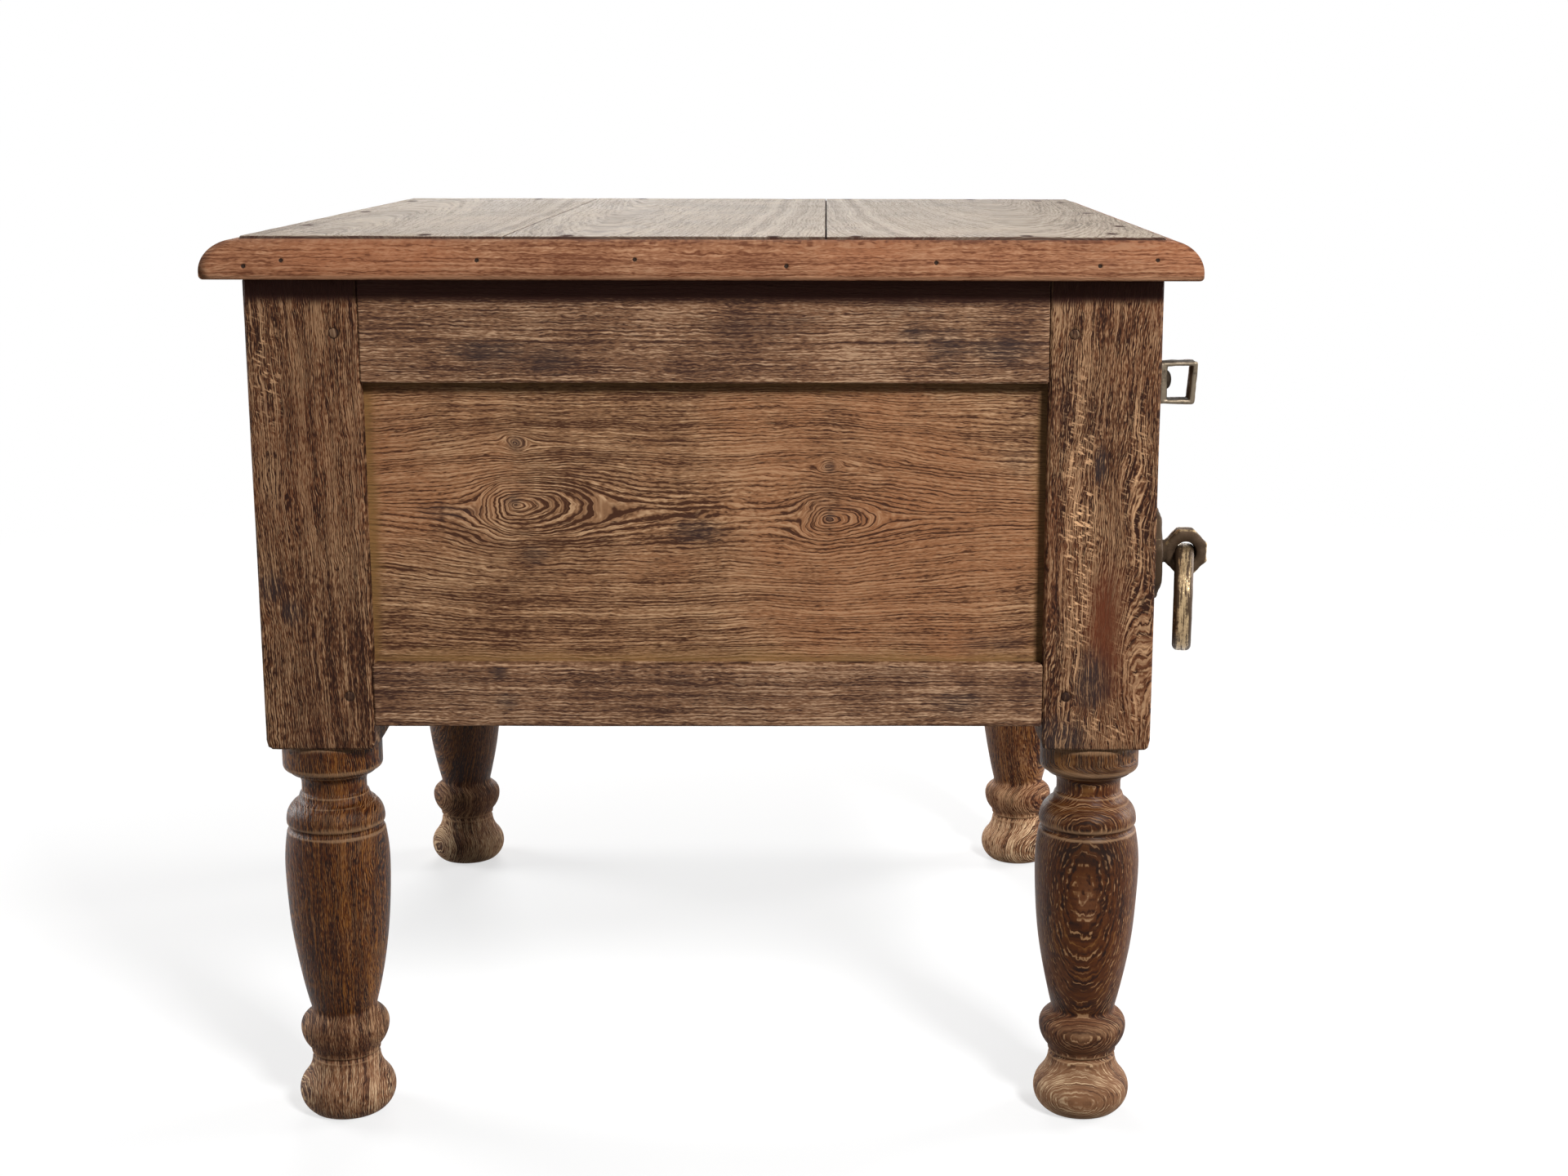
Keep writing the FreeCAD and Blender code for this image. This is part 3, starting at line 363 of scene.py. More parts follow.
def worn_block(low, high, arris, step, seed, pits=(), dents=None, ripple=None):
    """A block with rounded, dented edges, as (points, quads, edge, pit).

    Each point of the box is split in the nearest point of a core that is smaller by the arris radius
    and the way out from it. The point lies on that way at the arris radius, less the dents, which
    grow with how far the way out is from every axis, less a slow ripple and the pits. A pit is a
    place, a radius and a depth."""
    sizes = bpy.context.scene.lowboy_wear
    dents = sizes.dents if dents is None else dents
    ripple = sizes.ripple if ripple is None else ripple
    low, high = np.array(low, dtype=float), np.array(high, dtype=float)
    marks = [[hole[0][axis] for hole in pits if low[axis] < hole[0][axis] < high[axis]]
             for axis in range(3)]
    points, quads = box_lattice(*(cuts(low[axis], high[axis], arris, step, marks[axis])
                                  for axis in range(3)))
    core = np.clip(points, low + arris, high - arris)
    out = points - core
    out /= np.linalg.norm(out, axis=1, keepdims=True)
    edge = np.clip((1 - np.abs(out).max(axis=1)) / (1 - math.sqrt(0.5)), 0, 1)
    rough = unevenness(waves(points, 28 * MM, seed) * 0.5 + waves(points, 9 * MM, seed + 1) * 0.35)
    slow = unevenness(waves(points, 90 * MM, seed + 2) * 0.4)
    pit = np.max([np.zeros(len(points)), *(pitted(points, *hole[:2]) for hole in pits)], axis=0)
    deepest = max((hole[2] for hole in pits), default=0)
    sunk = edge * rough ** 2 * dents + slow * ripple + pit * deepest
    moved = core + out * (arris - sunk)[:, None]
    return moved, quads, edge * (0.35 + 0.65 * rough), pit


def shadow_and_grime_under_moulding(points):
    """How dark a point of the case is painted from lying close under the mouldings: painted shadow, with
    some old dirt.
    """
    return np.clip((points[:, 2] - POSTS_TOP + SHADOW_GRIME_REACH) / SHADOW_GRIME_GROWS, 0, 1)


def block_piece(name, low, high, arris, step, seed):
    """A worn block as a piece with its edge and pit numbers, and the number that paints shadow and dirt
    under the mouldings.
    """
    points, quads, edge, pit = worn_block(low, high, arris, step, seed)
    return make_piece(name, [(points, quads)], edge=edge, pit=pit, grime=shadow_and_grime_under_moulding(points))


# ------------------------------------------------------------------ shader building
class Finish:
    """Adds nodes to one new material; each method returns the socket that it makes."""

    def __init__(self, name):
        self.material = bpy.data.materials.new(name)
        self.material.use_nodes = True
        self.tree = self.material.node_tree
        self.shader = self.tree.nodes["Principled BSDF"]
        self.place = self.add("ShaderNodeTexCoord").outputs["Object"]

    def add(self, kind, **settings):
        node = self.tree.nodes.new(kind)
        for key, value in settings.items():
            setattr(node, key, value)
        return node

    def feed(self, socket, value):
        """Link a socket, or set it to a plain number or colour."""
        if isinstance(value, bpy.types.NodeSocket):
            self.tree.links.new(value, socket)
        elif hasattr(value, "__len__") and socket.type == "RGBA":
            socket.default_value = (*value, 1)
        else:
            socket.default_value = value

    def math(self, operation, *values):
        node = self.add("ShaderNodeMath", operation=operation)
        for socket, value in zip(node.inputs, values):
            self.feed(socket, value)
        return node.outputs[0]

    def plus(self, *values):
        total = values[0]
        for value in values[1:]:
            total = self.math("ADD", total, value)
        return total

    def times(self, *values):
        total = values[0]
        for value in values[1:]:
            total = self.math("MULTIPLY", total, value)
        return total

    def minus(self, value, other):
        return self.math("SUBTRACT", value, other)

    def spread(self, value, low, high, to_low, to_high, **settings):
        """A value carried from one range to another in a straight line, held at both ends."""
        node = self.add("ShaderNodeMapRange", clamp=True, **settings)
        for socket, number in zip(node.inputs, (value, low, high, to_low, to_high)):
            self.feed(socket, number)
        return node.outputs[0]

    def rise(self, value, low, high):
        """0 below low, 1 above high, smooth between; low may be the larger one."""
        return self.spread(value, low, high, 0.0, 1.0, interpolation_type="SMOOTHSTEP")

    def fall(self, share, least):
        """From 1 where share is 0 down to least where it is 1."""
        return self.spread(share, 0.0, 1.0, 1.0, least)

    def off(self, noise, share):
        """Noise about nought, times a share."""
        return self.times(self.minus(noise, 0.5), share)

    def vector(self, *parts):
        node = self.add("ShaderNodeCombineXYZ")
        for socket, value in zip(node.inputs, parts):
            self.feed(socket, value)
        return node.outputs[0]

    def split(self, vector):
        node = self.add("ShaderNodeSeparateXYZ")
        self.feed(node.inputs[0], vector)
        return node.outputs

    def size_of(self, vector):
        """Length of a vector."""
        node = self.add("ShaderNodeVectorMath", operation="LENGTH")
        self.feed(node.inputs[0], vector)
        return node.outputs["Value"]

    def length_of(self, *sides):
        """Length of a way given by its parts at right angles."""
        return self.size_of(self.vector(*sides))

    def moved(self, centre, reach=(1.0, 1.0, 1.0)):
        """The place on the piece, measured from a centre in units of a reach along each axis."""
        node = self.add("ShaderNodeMapping")
        self.feed(node.inputs["Vector"], self.place)
        node.inputs["Scale"].default_value = [1 / part for part in reach]
        node.inputs["Location"].default_value = [-middle / part for middle, part in zip(centre, reach)]
        return node.outputs[0]

    def noise(self, place, scale=1.0, detail=2.0, roughness=0.5, dimensions="3D"):
        """Noise about a half. In 1D it changes with one number only, which draws uneven bands."""
        node = self.add("ShaderNodeTexNoise", noise_dimensions=dimensions)
        self.feed(node.inputs["W" if dimensions == "1D" else "Vector"], place)
        for key, value in (("Scale", scale), ("Detail", detail), ("Roughness", roughness)):
            node.inputs[key].default_value = value
        return node.outputs[0]

    def choose(self, share, value_a, value_b):
        """The first number where share is 0, the second where it is 1."""
        node = self.add("ShaderNodeMix", data_type="FLOAT")
        for place, value in ((0, share), (2, value_a), (3, value_b)):
            self.feed(node.inputs[place], value)
        return node.outputs[0]

    def mix(self, share, colour_a, colour_b, kind="MIX"):
        """The first colour where share is 0, the second where it is 1."""
        node = self.add("ShaderNodeMix", data_type="RGBA", blend_type=kind)
        for place, value in ((0, share), (6, colour_a), (7, colour_b)):
            self.feed(node.inputs[place], value)
        return node.outputs[2]

    def filtered(self, share, colour, glass):
        """A colour seen through coloured glass over a share of the piece."""
        return self.mix(share, colour, self.mix(1.0, colour, glass, "MULTIPLY"))

    def number(self, name):
        """A number kept on the piece's points; nought where the piece has none."""
        return self.add("ShaderNodeAttribute", attribute_name=name).outputs["Fac"]

    def finish(self, colour, roughness, height, depth, metallic=0.0, level=0.5):
        """Join colour, roughness and relief to the shader."""
        bump = self.add("ShaderNodeBump")
        bump.inputs["Strength"].default_value = 1.0
        bump.inputs["Distance"].default_value = depth
        self.feed(bump.inputs["Height"], height)
        self.feed(self.shader.inputs["Base Color"], colour)
        self.feed(self.shader.inputs["Roughness"], roughness)
        self.feed(self.shader.inputs["Normal"], bump.outputs[0])
        self.shader.inputs["Metallic"].default_value = metallic
        self.shader.inputs["Specular IOR Level"].default_value = level
        return self.material


def scaled(colour, *factors):
    """A colour times one factor, or times one factor for each of its parts, held between 0 and 1."""
    return tuple(np.clip(np.array(colour) * factors, 0, 1))


# ------------------------------------------------------------------ timber
# how much paler the feet are painted where their finish has gone, partly painted light for their upward
# faces
FADED_AND_LIT_TINT = (1.66, 2.02, 2.30)
# between these depths under the post, the rings change from the post's to the turned part's
TURNED_FROM, TURNED_TO = 12 * MM, 30 * MM


class Timber(Finish):
    """Old timber, measured along, across and into the grain from the middle of its piece."""

    def __init__(self, name, axes, centre):
        super().__init__(name)
        self.order = ["XYZ".index(axis) for axis in axes]
        self.centre = centre
        parts = self.split(self.moved(centre))
        self.along, self.across, self.inwards = (parts[axis] for axis in self.order)
        self.patch = self.noise(self.place, 21.0, 4.0, 0.62)
        self.broad = self.noise(self.place, 6.0, 3.0, 0.55)
        self.below = 0.0

    def clouds(self, long, wide, detail=2.0):
        """Noise of plain features, so long along the grain and so wide."""
        place = self.vector(self.times(self.along, 1 / long), self.times(self.across, 1 / wide),
                            self.times(self.inwards, 1 / wide))
        return self.noise(place, 1.0, detail)

    def streaks(self, long, wide, detail=2.0):
        """Noise in streaks that follow the rings, so long and so wide."""
        place = self.vector(self.times(self.along, 1 / long), self.times(self.age, 1 / wide), 0.0)
        return self.noise(place, 1.0, detail, 0.6, "2D")

    def spot(self, place, reach, share, *ragged):
        """A share inside an ellipsoid round a place of the frame, 0 outside, with a ragged border."""
        away = self.size_of(self.moved(place, reach))
        return self.times(self.rise(self.plus(away, *ragged), 1.5, 0.2), share)

    def round_knot(self, along, across, knot):
        """The measure across the grain carried round a knot: lines close in rings on it and part round it.

        The outermost ring reaches b across the grain and further each way along it. With r the stretched
        way from the middle over b, and v the way across, the measure is 1.15 b (1 - r ** 0.8) inside that
        ring, and v (1 - exp((1 - r) / 2.3) / r) outside it, as water parts round a stone."""
        (middle_along, middle_across), reach_across, reach_below, reach_above = knot
        along_from = self.minus(along, middle_along)
        across_from = self.minus(across, middle_across)
        stretch = self.spread(self.math("GREATER_THAN", along_from, 0.0), 0.0, 1.0,
                              1 / reach_below, 1 / reach_above)
        away = self.length_of(self.times(along_from, stretch), self.times(across_from, 1 / reach_across))
        inner = self.times(self.minus(1.0, self.math("POWER", away, 0.8)), 1.15 * reach_across)
        parting = self.math("EXPONENT", self.times(self.minus(1.0, away), 1 / 2.3))
        outer = self.times(across_from, self.minus(1.0, self.math("DIVIDE", parting, away)))
        carried = self.choose(self.math("LESS_THAN", away, 1.0), outer, inner)
        return self.plus(carried, middle_across)

    def measure_age(self, pith, lean, sway, wiggle, squiggle, knots):
        """Age is the way from the pith line, and grows by one ring's width with each ring. The measure
        across is bent by noise and carried round the knots first, which bends all that follows age."""
        bent = self.plus(self.across, self.off(self.clouds(0.07, 0.024), 0.0060 * sway),
                         self.off(self.clouds(0.014, 0.0055, 3.0), 0.0032 * wiggle))
        drifting = self.plus(self.along, self.off(self.clouds(0.045, 0.016, 3.0), 0.024))
        for knot in knots:
            bent = self.round_knot(drifting, bent, knot)
        self.bent = self.plus(bent, self.off(self.clouds(0.45, 0.14), 0.034 * sway))
        from_pith = self.minus(self.bent, self.plus(pith[0], self.times(self.along, lean[0])))
        depth = self.minus(self.inwards, self.plus(pith[1], self.times(self.along, lean[1])))
        self.age = self.plus(self.length_of(from_pith, depth),
                             self.off(self.clouds(0.016, 0.0055, 3.0), 0.0020 * squiggle))

    def turn_about(self, pith, lean, turned_pith):
        """Below the post, age is the way from another pith, set off so that it meets the post's."""
        meet = POST_UNDER - self.centre[2]
        self.below = self.rise(self.along, meet - TURNED_FROM, meet - TURNED_TO)
        outside = math.hypot(pith[0] + lean[0] * meet, pith[1] + lean[1] * meet) - math.hypot(*turned_pith)
        own = self.length_of(self.minus(self.bent, turned_pith[0]),
                             self.minus(self.inwards, turned_pith[1]))
        own = self.plus(own, outside, self.off(self.clouds(0.009, 0.004, 3.0), 0.0014))
        self.age = self.choose(self.below, self.age, own)

    def add_arch(self, pith, lean, place, reach, share):
        """Inside a spot, age grows along the grain and to both sides, so that its lines are arches."""
        along, across, inwards = (place[axis] - self.centre[axis] for axis in self.order)
        here = math.hypot(across - pith[0] - along * lean[0], inwards - pith[1] - along * lean[1])
        sideways = self.length_of(self.minus(self.bent, across), 2.5 * MM)
        arch = self.plus(self.times(self.minus(self.along, along), 0.13), self.times(sideways, 0.22), here,
                         self.off(self.clouds(0.010, 0.004, 3.0), 0.0012))
        self.age = self.choose(self.spot(place, reach, share, self.off(self.patch, 0.6)), self.age, arch)

    def draw_grain(self, ring, lines, bands, grit, bold_spots):
        """Tone of the figure about nought: dark early wood in each ring, bands, fibres and pores."""
        off, patch, broad = self.off, self.patch, self.broad
        self.fibre = self.streaks(0.060, 0.0011)
        self.dash = self.streaks(0.013, 0.0013)
        self.pore = self.streaks(0.0045, 0.00055, 1.0)
        uneven = self.times(self.noise(self.age, 55.0, 1.0, dimensions="1D"), 3.0)
        count = self.plus(self.times(self.age, 1 / ring), uneven, off(self.dash, 0.5))
        self.turn = self.math("FRACT", count)
        strength = self.spread(self.plus(patch, broad, off(self.dash, 0.8)), 0.75, 1.3, 0.35, 1.25)
        for spot in bold_spots:
            strength = self.plus(strength, self.spot(*spot, off(patch, 0.8)))
        early = self.times(self.rise(self.turn, 0.62, 0.0), self.rise(self.turn, 0.0, 0.06), strength,
                           lines)
        banded = self.noise(self.age, 120.0, 1.0, dimensions="1D")
        tone = self.plus(self.times(early, -0.5), off(banded, 0.7 * bands), off(self.fibre, 1.4 * grit),
                         off(self.dash, 1.1 * grit), off(self.pore, 1.0 * grit))
        faded = self.number("faded")
        quiet = self.times(self.fall(self.below, 0.45), self.fall(faded, 0.8))
        turned = self.times(self.below, self.spread(faded, 0.0, 1.0, -0.12, 0.10))
        self.tone = self.plus(self.times(tone, quiet), off(patch, 0.9), off(broad, 1.0), 0.06 * lines,
                              turned)

    def base_colour(self, middle, dark, light, red):
        """Middle colour with dark and pale lines by tone, redder in broad patches."""
        colour = self.mix(self.rise(self.tone, 0.06, -0.42), middle, dark)
        colour = self.mix(self.rise(self.tone, 0.04, 0.50), colour, light)
        reddish = self.times(self.rise(self.broad, 0.44, 0.66), self.rise(self.tone, -0.5, 0.1), red * 0.8)
        return self.mix(reddish, colour, scaled(middle, 1.12, 0.80, 0.62))

    def add_lime(self, colour, light, place, reach, share, *ragged):
        """A spot where lime fills slanting strokes and some fibres."""
        slanted = self.plus(self.times(self.along, 520.0), self.times(self.across, -210.0))
        strokes = self.noise(self.vector(slanted, self.times(self.across, 170.0),
                                         self.times(self.inwards, 170.0)), 1.0, 3.0, 0.6)
        marks = self.math("MAXIMUM", self.rise(self.plus(strokes, self.off(self.patch, 0.35)), 0.54, 0.66),
                          self.times(self.rise(self.fibre, 0.58, 0.72), 0.7))
        mask = self.times(self.spot(place, reach, share, *ragged), marks, self.rise(self.patch, 0.25, 0.5))
        return self.mix(mask, colour, scaled(light, 2.2))


def timber(name, axes, centre, wood, pith=(-0.4, 0.06), lean=(0.0, 0.0), ring=2.6 * MM, sway=1.0,
           wiggle=1.0, squiggle=0.0, knots=(), spots=(), turned_pith=None, lines=0.7, bands=1.0, grit=1.0,
           pale=0.4, red=0.4, shade=1.0, stains=0.3, dusty=0.3, dust=None, varnish=None,
           roughness=0.72, level=0.12):
    """Old timber. Rings are measured from a pith line that wanders; lines, pores and stains follow them.

    axes names the axes along the grain, across it in the face and into the face, and wood names the
    piece's colours in the panel. The pith is given across and inwards from the centre, in metres, and
    lean is how it moves both ways along the grain.
    turned_pith is the pith of the part below the post. sway, wiggle and squiggle bend the rings in
    long, short and ragged waves; lines, bands and grit are how strongly rings, bands and fibres show.
    A spot is a kind, a place of the frame, its reach along X, Y and Z, and a strength. Its kind is
    arched or bold for the lines, stain, limed, pale or smooth for the colour. The piece's own numbers
    say where it has an edge, a pit, a dusty rim, varnish, a worn-off finish, or dirt. Some of them
    paint light and shade as well: the dirt paints the shadow under the mouldings and the shade along
    the boards' edges, the pits the shade round the pegs and in the sunk plugs, the varnish shade on
    the vases' downward faces, and the worn-off finish light on the feet's upward faces. shade darkens
    all of a piece's colours; on the back right leg it is painted shade."""
    tones = bpy.context.scene.lowboy_timber
    # shade darkens all of a piece's colours; on the back right leg it is painted shade
    middle, dark, light = (scaled(getattr(tones, wood + part), shade) for part in ("", "_dark", "_pale"))
    look = Timber(name, axes, centre)
    plus, times, off, rise, number = look.plus, look.times, look.off, look.rise, look.number
    look.measure_age(pith, lean, sway, wiggle, squiggle, knots)
    if turned_pith:
        look.turn_about(pith, lean, turned_pith)
    for kind, *spot in spots:
        if kind == "arched":
            look.add_arch(pith, lean, *spot)
    look.draw_grain(ring, lines, bands, grit, [spot for kind, *spot in spots if kind == "bold"])
    patch, fibre, dash, tone = look.patch, look.fibre, look.dash, look.tone

    colour = look.base_colour(middle, dark, light, red)
    band = look.math("ABSOLUTE", look.minus(look.turn, 0.72))
    filled = rise(plus(band, off(dash, 0.9)), look.spread(look.below, 0.0, 1.0, 0.16, 0.12), 0.03)
    limed = times(filled, rise(plus(patch, off(look.pore, 0.9)), 0.40, 0.62), pale)
    colour = look.mix(limed, colour, light)
    blot = plus(look.clouds(0.11, 0.045, 5.0), off(dash, 0.35), off(fibre, 0.25))
    stained = times(rise(blot, 0.58, 0.80), stains)
    ragged = plus(off(patch, 1.6), off(dash, 0.9))
    for kind, *spot in spots:
        if kind == "stain":
            stain = times(look.spot(*spot, ragged), rise(tone, 0.9, -0.15), 0.9)
            stained = look.math("MAXIMUM", stained, stain)
        elif kind == "limed":
            colour = look.add_lime(colour, light, *spot, ragged)
        elif kind == "smooth":
            worn = look.mix(fibre, tones.worn, tones.worn_dark)
            colour = look.mix(look.spot(*spot, ragged), colour, worn)
        elif kind == "pale":
            colour = look.mix(times(look.spot(*spot, ragged), rise(tone, -0.3, 0.2)), colour, light)
    colour = look.mix(stained, colour, tones.stain)

    coated = rise(plus(number("varnish"), off(patch, 0.7), off(dash, 0.4)), 0.25, 0.75)
    coated = times(coated, 0.96, look.fall(limed, 0.35))
    # partly painted light: the varnish darkens the vases also for their downward faces, and the feet are
    # paler also for their upward faces
    colour = look.filtered(coated, colour, varnish or tones.varnish)
    colour = look.filtered(number("faded"), colour, FADED_AND_LIT_TINT)
    # painted shade: under the mouldings and along the boards' edges this darkening paints shadow and shade,
    # besides old dirt there and rust round the plugs
    grime_shade_share = rise(plus(number("grime"), off(patch, 0.6), off(fibre, 0.4)), 0.3, 0.75)
    colour = look.mix(times(grime_shade_share, 0.95), colour, tones.soot_and_shade)
    rubbed = rise(plus(number("edge"), off(patch, 1.6), off(dash, 0.8)), 0.3, 0.9)
    colour = look.mix(times(rubbed, 0.5), colour, light)
    dusted = rise(plus(number("rim"), off(patch, 0.7), off(dash, 0.5)), 0.35, 1.0)
    colour = look.mix(times(dusted, dusty), colour, dust or tones.dust)
    # dark pits: nail heads, and painted shade round the pegs and in the sunk plugs of the top
    colour = look.mix(rise(number("pit"), 0.35, 0.8), colour, tones.pit)
    shine = plus(roughness, off(patch, 0.3), times(limed, 0.15), times(coated, -0.32))
    relief = plus(times(tone, 0.55), times(patch, 0.5))
    return look.finish(colour, shine, relief, 0.4 * MM, level=level)


# ------------------------------------------------------------------ metal
def forged(name, bare, dark, bright=0.5, roughness=0.5, streaks=False):
    """Old metal: bare where it stands proud or is rubbed, dark and dull in between. With streaks, it
    is rubbed in lines along the piece, told apart by the number kept as its side. On the ring the edge
    number is a painted highlight down its middle."""
    look = Finish(name)
    patch = look.noise(look.place, 90.0, 4.0, 0.65)
    fine = look.noise(look.place, 620.0, 3.0, 0.6)
    broad = look.noise(look.place, 28.0, 2.0, 0.5)
    rubbed = look.plus(patch, look.times(broad, 0.5), look.times(look.number("edge"), 0.45),
                       look.off(fine, 0.5))
    if streaks:
        parts = look.split(look.place)
        line = look.noise(look.vector(look.times(parts[0], 45.0), look.times(look.number("side"), 800.0),
                                      look.times(parts[2], 45.0)), 1.0, 3.0, 0.65)
        rubbed = look.plus(rubbed, look.off(line, 2.2))
    share = look.rise(rubbed, 1.0 - bright * 0.5, 1.35 - bright * 0.5)
    colour = look.mix(share, dark, bare)
    colour = look.mix(look.rise(look.number("pit"), 0.2, 0.9), colour, scaled(dark, 0.5))
    shine = look.spread(share, 0.0, 1.0, roughness + 0.18, roughness - 0.12)
    relief = look.plus(patch, look.times(fine, 0.35))
    return look.finish(colour, shine, relief, 0.5 * MM, metallic=0.75)


# ------------------------------------------------------------------ the case
SIDE_NAMES = ("front", "right", "back", "left")
OUTWARD = {"front": (0, -1, 0), "right": (1, 0, 0), "back": (0, 1, 0), "left": (-1, 0, 0)}
PEG_RADIUS = 3.3 * MM
PEG_INSET = 16 * MM
PEG_DEEP = 30 * MM
# the sunk ring round each peg, its dark colour painted shade in the gap
PEG_PIT = (PEG_RADIUS * 1.12, 1.3 * MM)
SIDE_PEGS = (557.5 * MM, 313 * MM)
FRONT_PEGS = (571.25 * MM, 305 * MM)


def side_point(side, along, inwards, height):
    """A point on a side seen from outside: along from its left corner, inwards from its face."""
    return {
        "front": (CASE_LEFT + along, CASE_FRONT + inwards, height),
        "right": (CASE_RIGHT - inwards, CASE_FRONT + along, height),
        "back": (CASE_RIGHT - along, CASE_BACK - inwards, height),
        "left": (CASE_LEFT + inwards, CASE_BACK - along, height),
    }[side]


def side_length(side):
    """Length of a side of the case."""
    return CASE_RIGHT - CASE_LEFT if side in ("front", "back") else CASE_BACK - CASE_FRONT


def side_axes(side):
    """Axes along a side, up, and into it."""
    return "XZY" if side in ("front", "back") else "YZX"


def peg_places():
    """Middle of each peg's end, side by side round the case."""
    return [(side, side_point(side, along, 0, height))
            for side in SIDE_NAMES
            for height in (FRONT_PEGS if side == "front" else SIDE_PEGS)
            for along in (POST - PEG_INSET, side_length(side) - POST + PEG_INSET)]


def side_box(side, along, inwards, height):
    """Low and high corner of a block given by its spans on a side."""
    first = np.array(side_point(side, along[0], inwards[0], height[0]))
    second = np.array(side_point(side, along[1], inwards[1], height[1]))
    return np.minimum(first, second), np.maximum(first, second)


def turned_profile():
    """Half outline of the turned leg, from the sole up: straight steps and arcs, corners eased."""
    step = 0.9

    def bend(start, end, side, radius=None):
        """An arc that swells out (-1) or is hollow (1). Without a radius it stands upright at one end:
        its radius is then (run ** 2 + depth ** 2) / (2 depth), from its run up and its depth across."""
        run, depth = end[1] - start[1], abs(end[0] - start[0])
        return arc(start, end, radius or (run ** 2 + depth ** 2) / (2 * depth), side, step)

    # radii and heights in millimetres
    foot, bead, vase, neck = 34.0, 31.0, 36.4, 22.4
    foot_high, foot_turn, foot_neck = 16.0, 27.5, 41.5
    bead_low, bead_wide, bead_high = 49.0, 64.0, 74.0
    ankle, vase_high, lip, shoulder_low = 78.0, 184.0, 210.0, 214.5
    shoulder, neck_low, collar, post = 218.0, 236.5, 252.0, 276.0
    outline = [
        [(0.0, 0.0), (24.5, 0.0), (26.0, 0.8)],
        bend((26.0, 0.8), (foot, foot_high), -1),
        bend((foot, foot_high), (29.6, foot_turn), -1),
        bend((29.6, foot_turn), (23.9, foot_neck - 2), 1, 23.2),
        [(24.0, foot_neck), (22.2, foot_neck + 0.8), (22.2, foot_neck + 2.4), (24.4, foot_neck + 3.2),
         (24.2, bead_low - 1.4), (25.0, bead_low)],
        bend((25.0, bead_low), (bead, bead_wide), -1),
        bend((bead, bead_wide), (24.6, bead_high), -1),
        [(23.6, bead_high + 1.2), (22.8, bead_high + 2), (22.8, ankle)],
        bend((22.8, ankle), (vase, vase_high), -1),
        bend((vase, vase_high), (34.0, lip), -1),
        [(32.2, lip + 1.6), (32.2, shoulder_low - 1.2), (34.0, shoulder_low), (34.2, shoulder)],
        bend((34.0, shoulder), (29.8, shoulder + 10.5), -1),
        [(28.9, shoulder + 11), (28.9, shoulder + 12)],
        bend((28.6, shoulder + 12), (24.0, neck_low), 1),
        [(neck, neck_low + 1), (neck, collar - 7)],
        bend((neck, collar - 7), (29.4, collar - 0.6), 1, 7.4),
        [(29.9, collar - 0.3), (30.2, collar + 1.4), (31.0, collar + 1.6)],
        bend((31.0, collar + 1.6), (34.5, collar + 5), -1, 3.6),
        [(34.5, post - 4), (33.8, post - 1.4), (32.0, post), (0.0, post)],
    ]
    return softened(np.concatenate(outline) * MM, step * MM, 2)


# what marks the left end's posts: kind, place, reach along X, Y and Z, strength
POST_SPOTS = (
    ("limed", (-0.320, -0.234, 0.420), (0.010, 0.012, 0.115), 0.95),
    ("smooth", (-0.320, -0.2525, 0.365), (0.012, 0.013, 0.040), 0.9),
    ("arched", (-0.320, -0.2740, 0.355), (0.020, 0.017, 0.060), 1.0),
    ("arched", (-0.320, -0.2700, 0.455), (0.020, 0.014, 0.030), 0.7),
    ("stain", (-0.320, -0.2465, 0.471), (0.006, 0.004, 0.011), 1.0),
    ("stain", (-0.320, -0.244, 0.326), (0.012, 0.011, 0.020), 1.0),
    ("stain", (-0.320, -0.226, 0.283), (0.014, 0.022, 0.015), 1.0),
    ("limed", (-0.320, -0.252, 0.296), (0.012, 0.024, 0.016), 0.8),
    ("limed", (-0.320, -0.272, 0.460), (0.012, 0.010, 0.060), 0.6),
    ("limed", (-0.320, -0.274, 0.350), (0.012, 0.014, 0.055), 0.45),
    ("stain", (-0.315, -0.2485, 0.265), (0.030, 0.040, 0.011), 0.7),
    ("stain", (-0.318, -0.2485, 0.205), (0.030, 0.034, 0.018), 0.5),
)
BACK_POST_SPOTS = (
    ("pale", (-0.320, 0.302, 0.462), (0.008, 0.007, 0.020), 0.8),
    ("limed", (-0.320, 0.302, 0.540), (0.008, 0.010, 0.050), 0.6),
    ("stain", (-0.320, 0.3075, 0.390), (0.008, 0.009, 0.012), 0.7),
    ("stain", (-0.320, 0.293, 0.371), (0.008, 0.007, 0.009), 0.7),
)

# faces round the turned part
LEG_COLUMNS = 112
# the post is chipped so far up from its lower end
CHIPPED = 7 * MM
# on the turned part, varnish starts at a height and grows upwards; below another one it is gone.
# The varnished vase is darker partly as painted shade on its downward faces, the bare feet paler
# partly as painted light on their upward faces.
VARNISH_FROM, VARNISH_GROWS = 72 * MM, 10 * MM
FADED_LIT_BELOW, FADED_LIT_GROWS = 48 * MM, 12 * MM
# how much dust the hollows of the turned part hold
RIM_DUST = 0.22


def worn_post(middle, seed):
    """The square post: a worn block with sunk pegs, the ring round each painted dark as shade, its lower
    corners chipped more than its faces.
    """
    half = POST / 2
    pits = [((x, y, z), *PEG_PIT) for _, (x, y, z) in peg_places()
            if max(abs(x - middle[0]), abs(y - middle[1])) < half * 1.02]
    low, high = (*(middle - half), POST_UNDER), (*(middle + half), POSTS_TOP)
    arris = bpy.context.scene.lowboy_wear.post_arris
    points, quads, edge, pit = worn_block(low, high, arris, 5 * MM, seed, pits=pits)
    bottom = np.clip((POST_UNDER + CHIPPED - points[:, 2]) / CHIPPED, 0, 1)
    chips = np.clip(bottom ** 2 * (2.2 + 1.2 * waves(points, 30 * MM, seed + 7)) * MM, 0, None)
    away = points[:, :2] - middle
    corner = np.clip(np.abs(away).min(axis=1) / half, 0, 1) ** 3
    points[:, :2] = middle + away * (1 - chips * (0.25 + corner) / half)[:, None]
    return points, quads, edge, pit


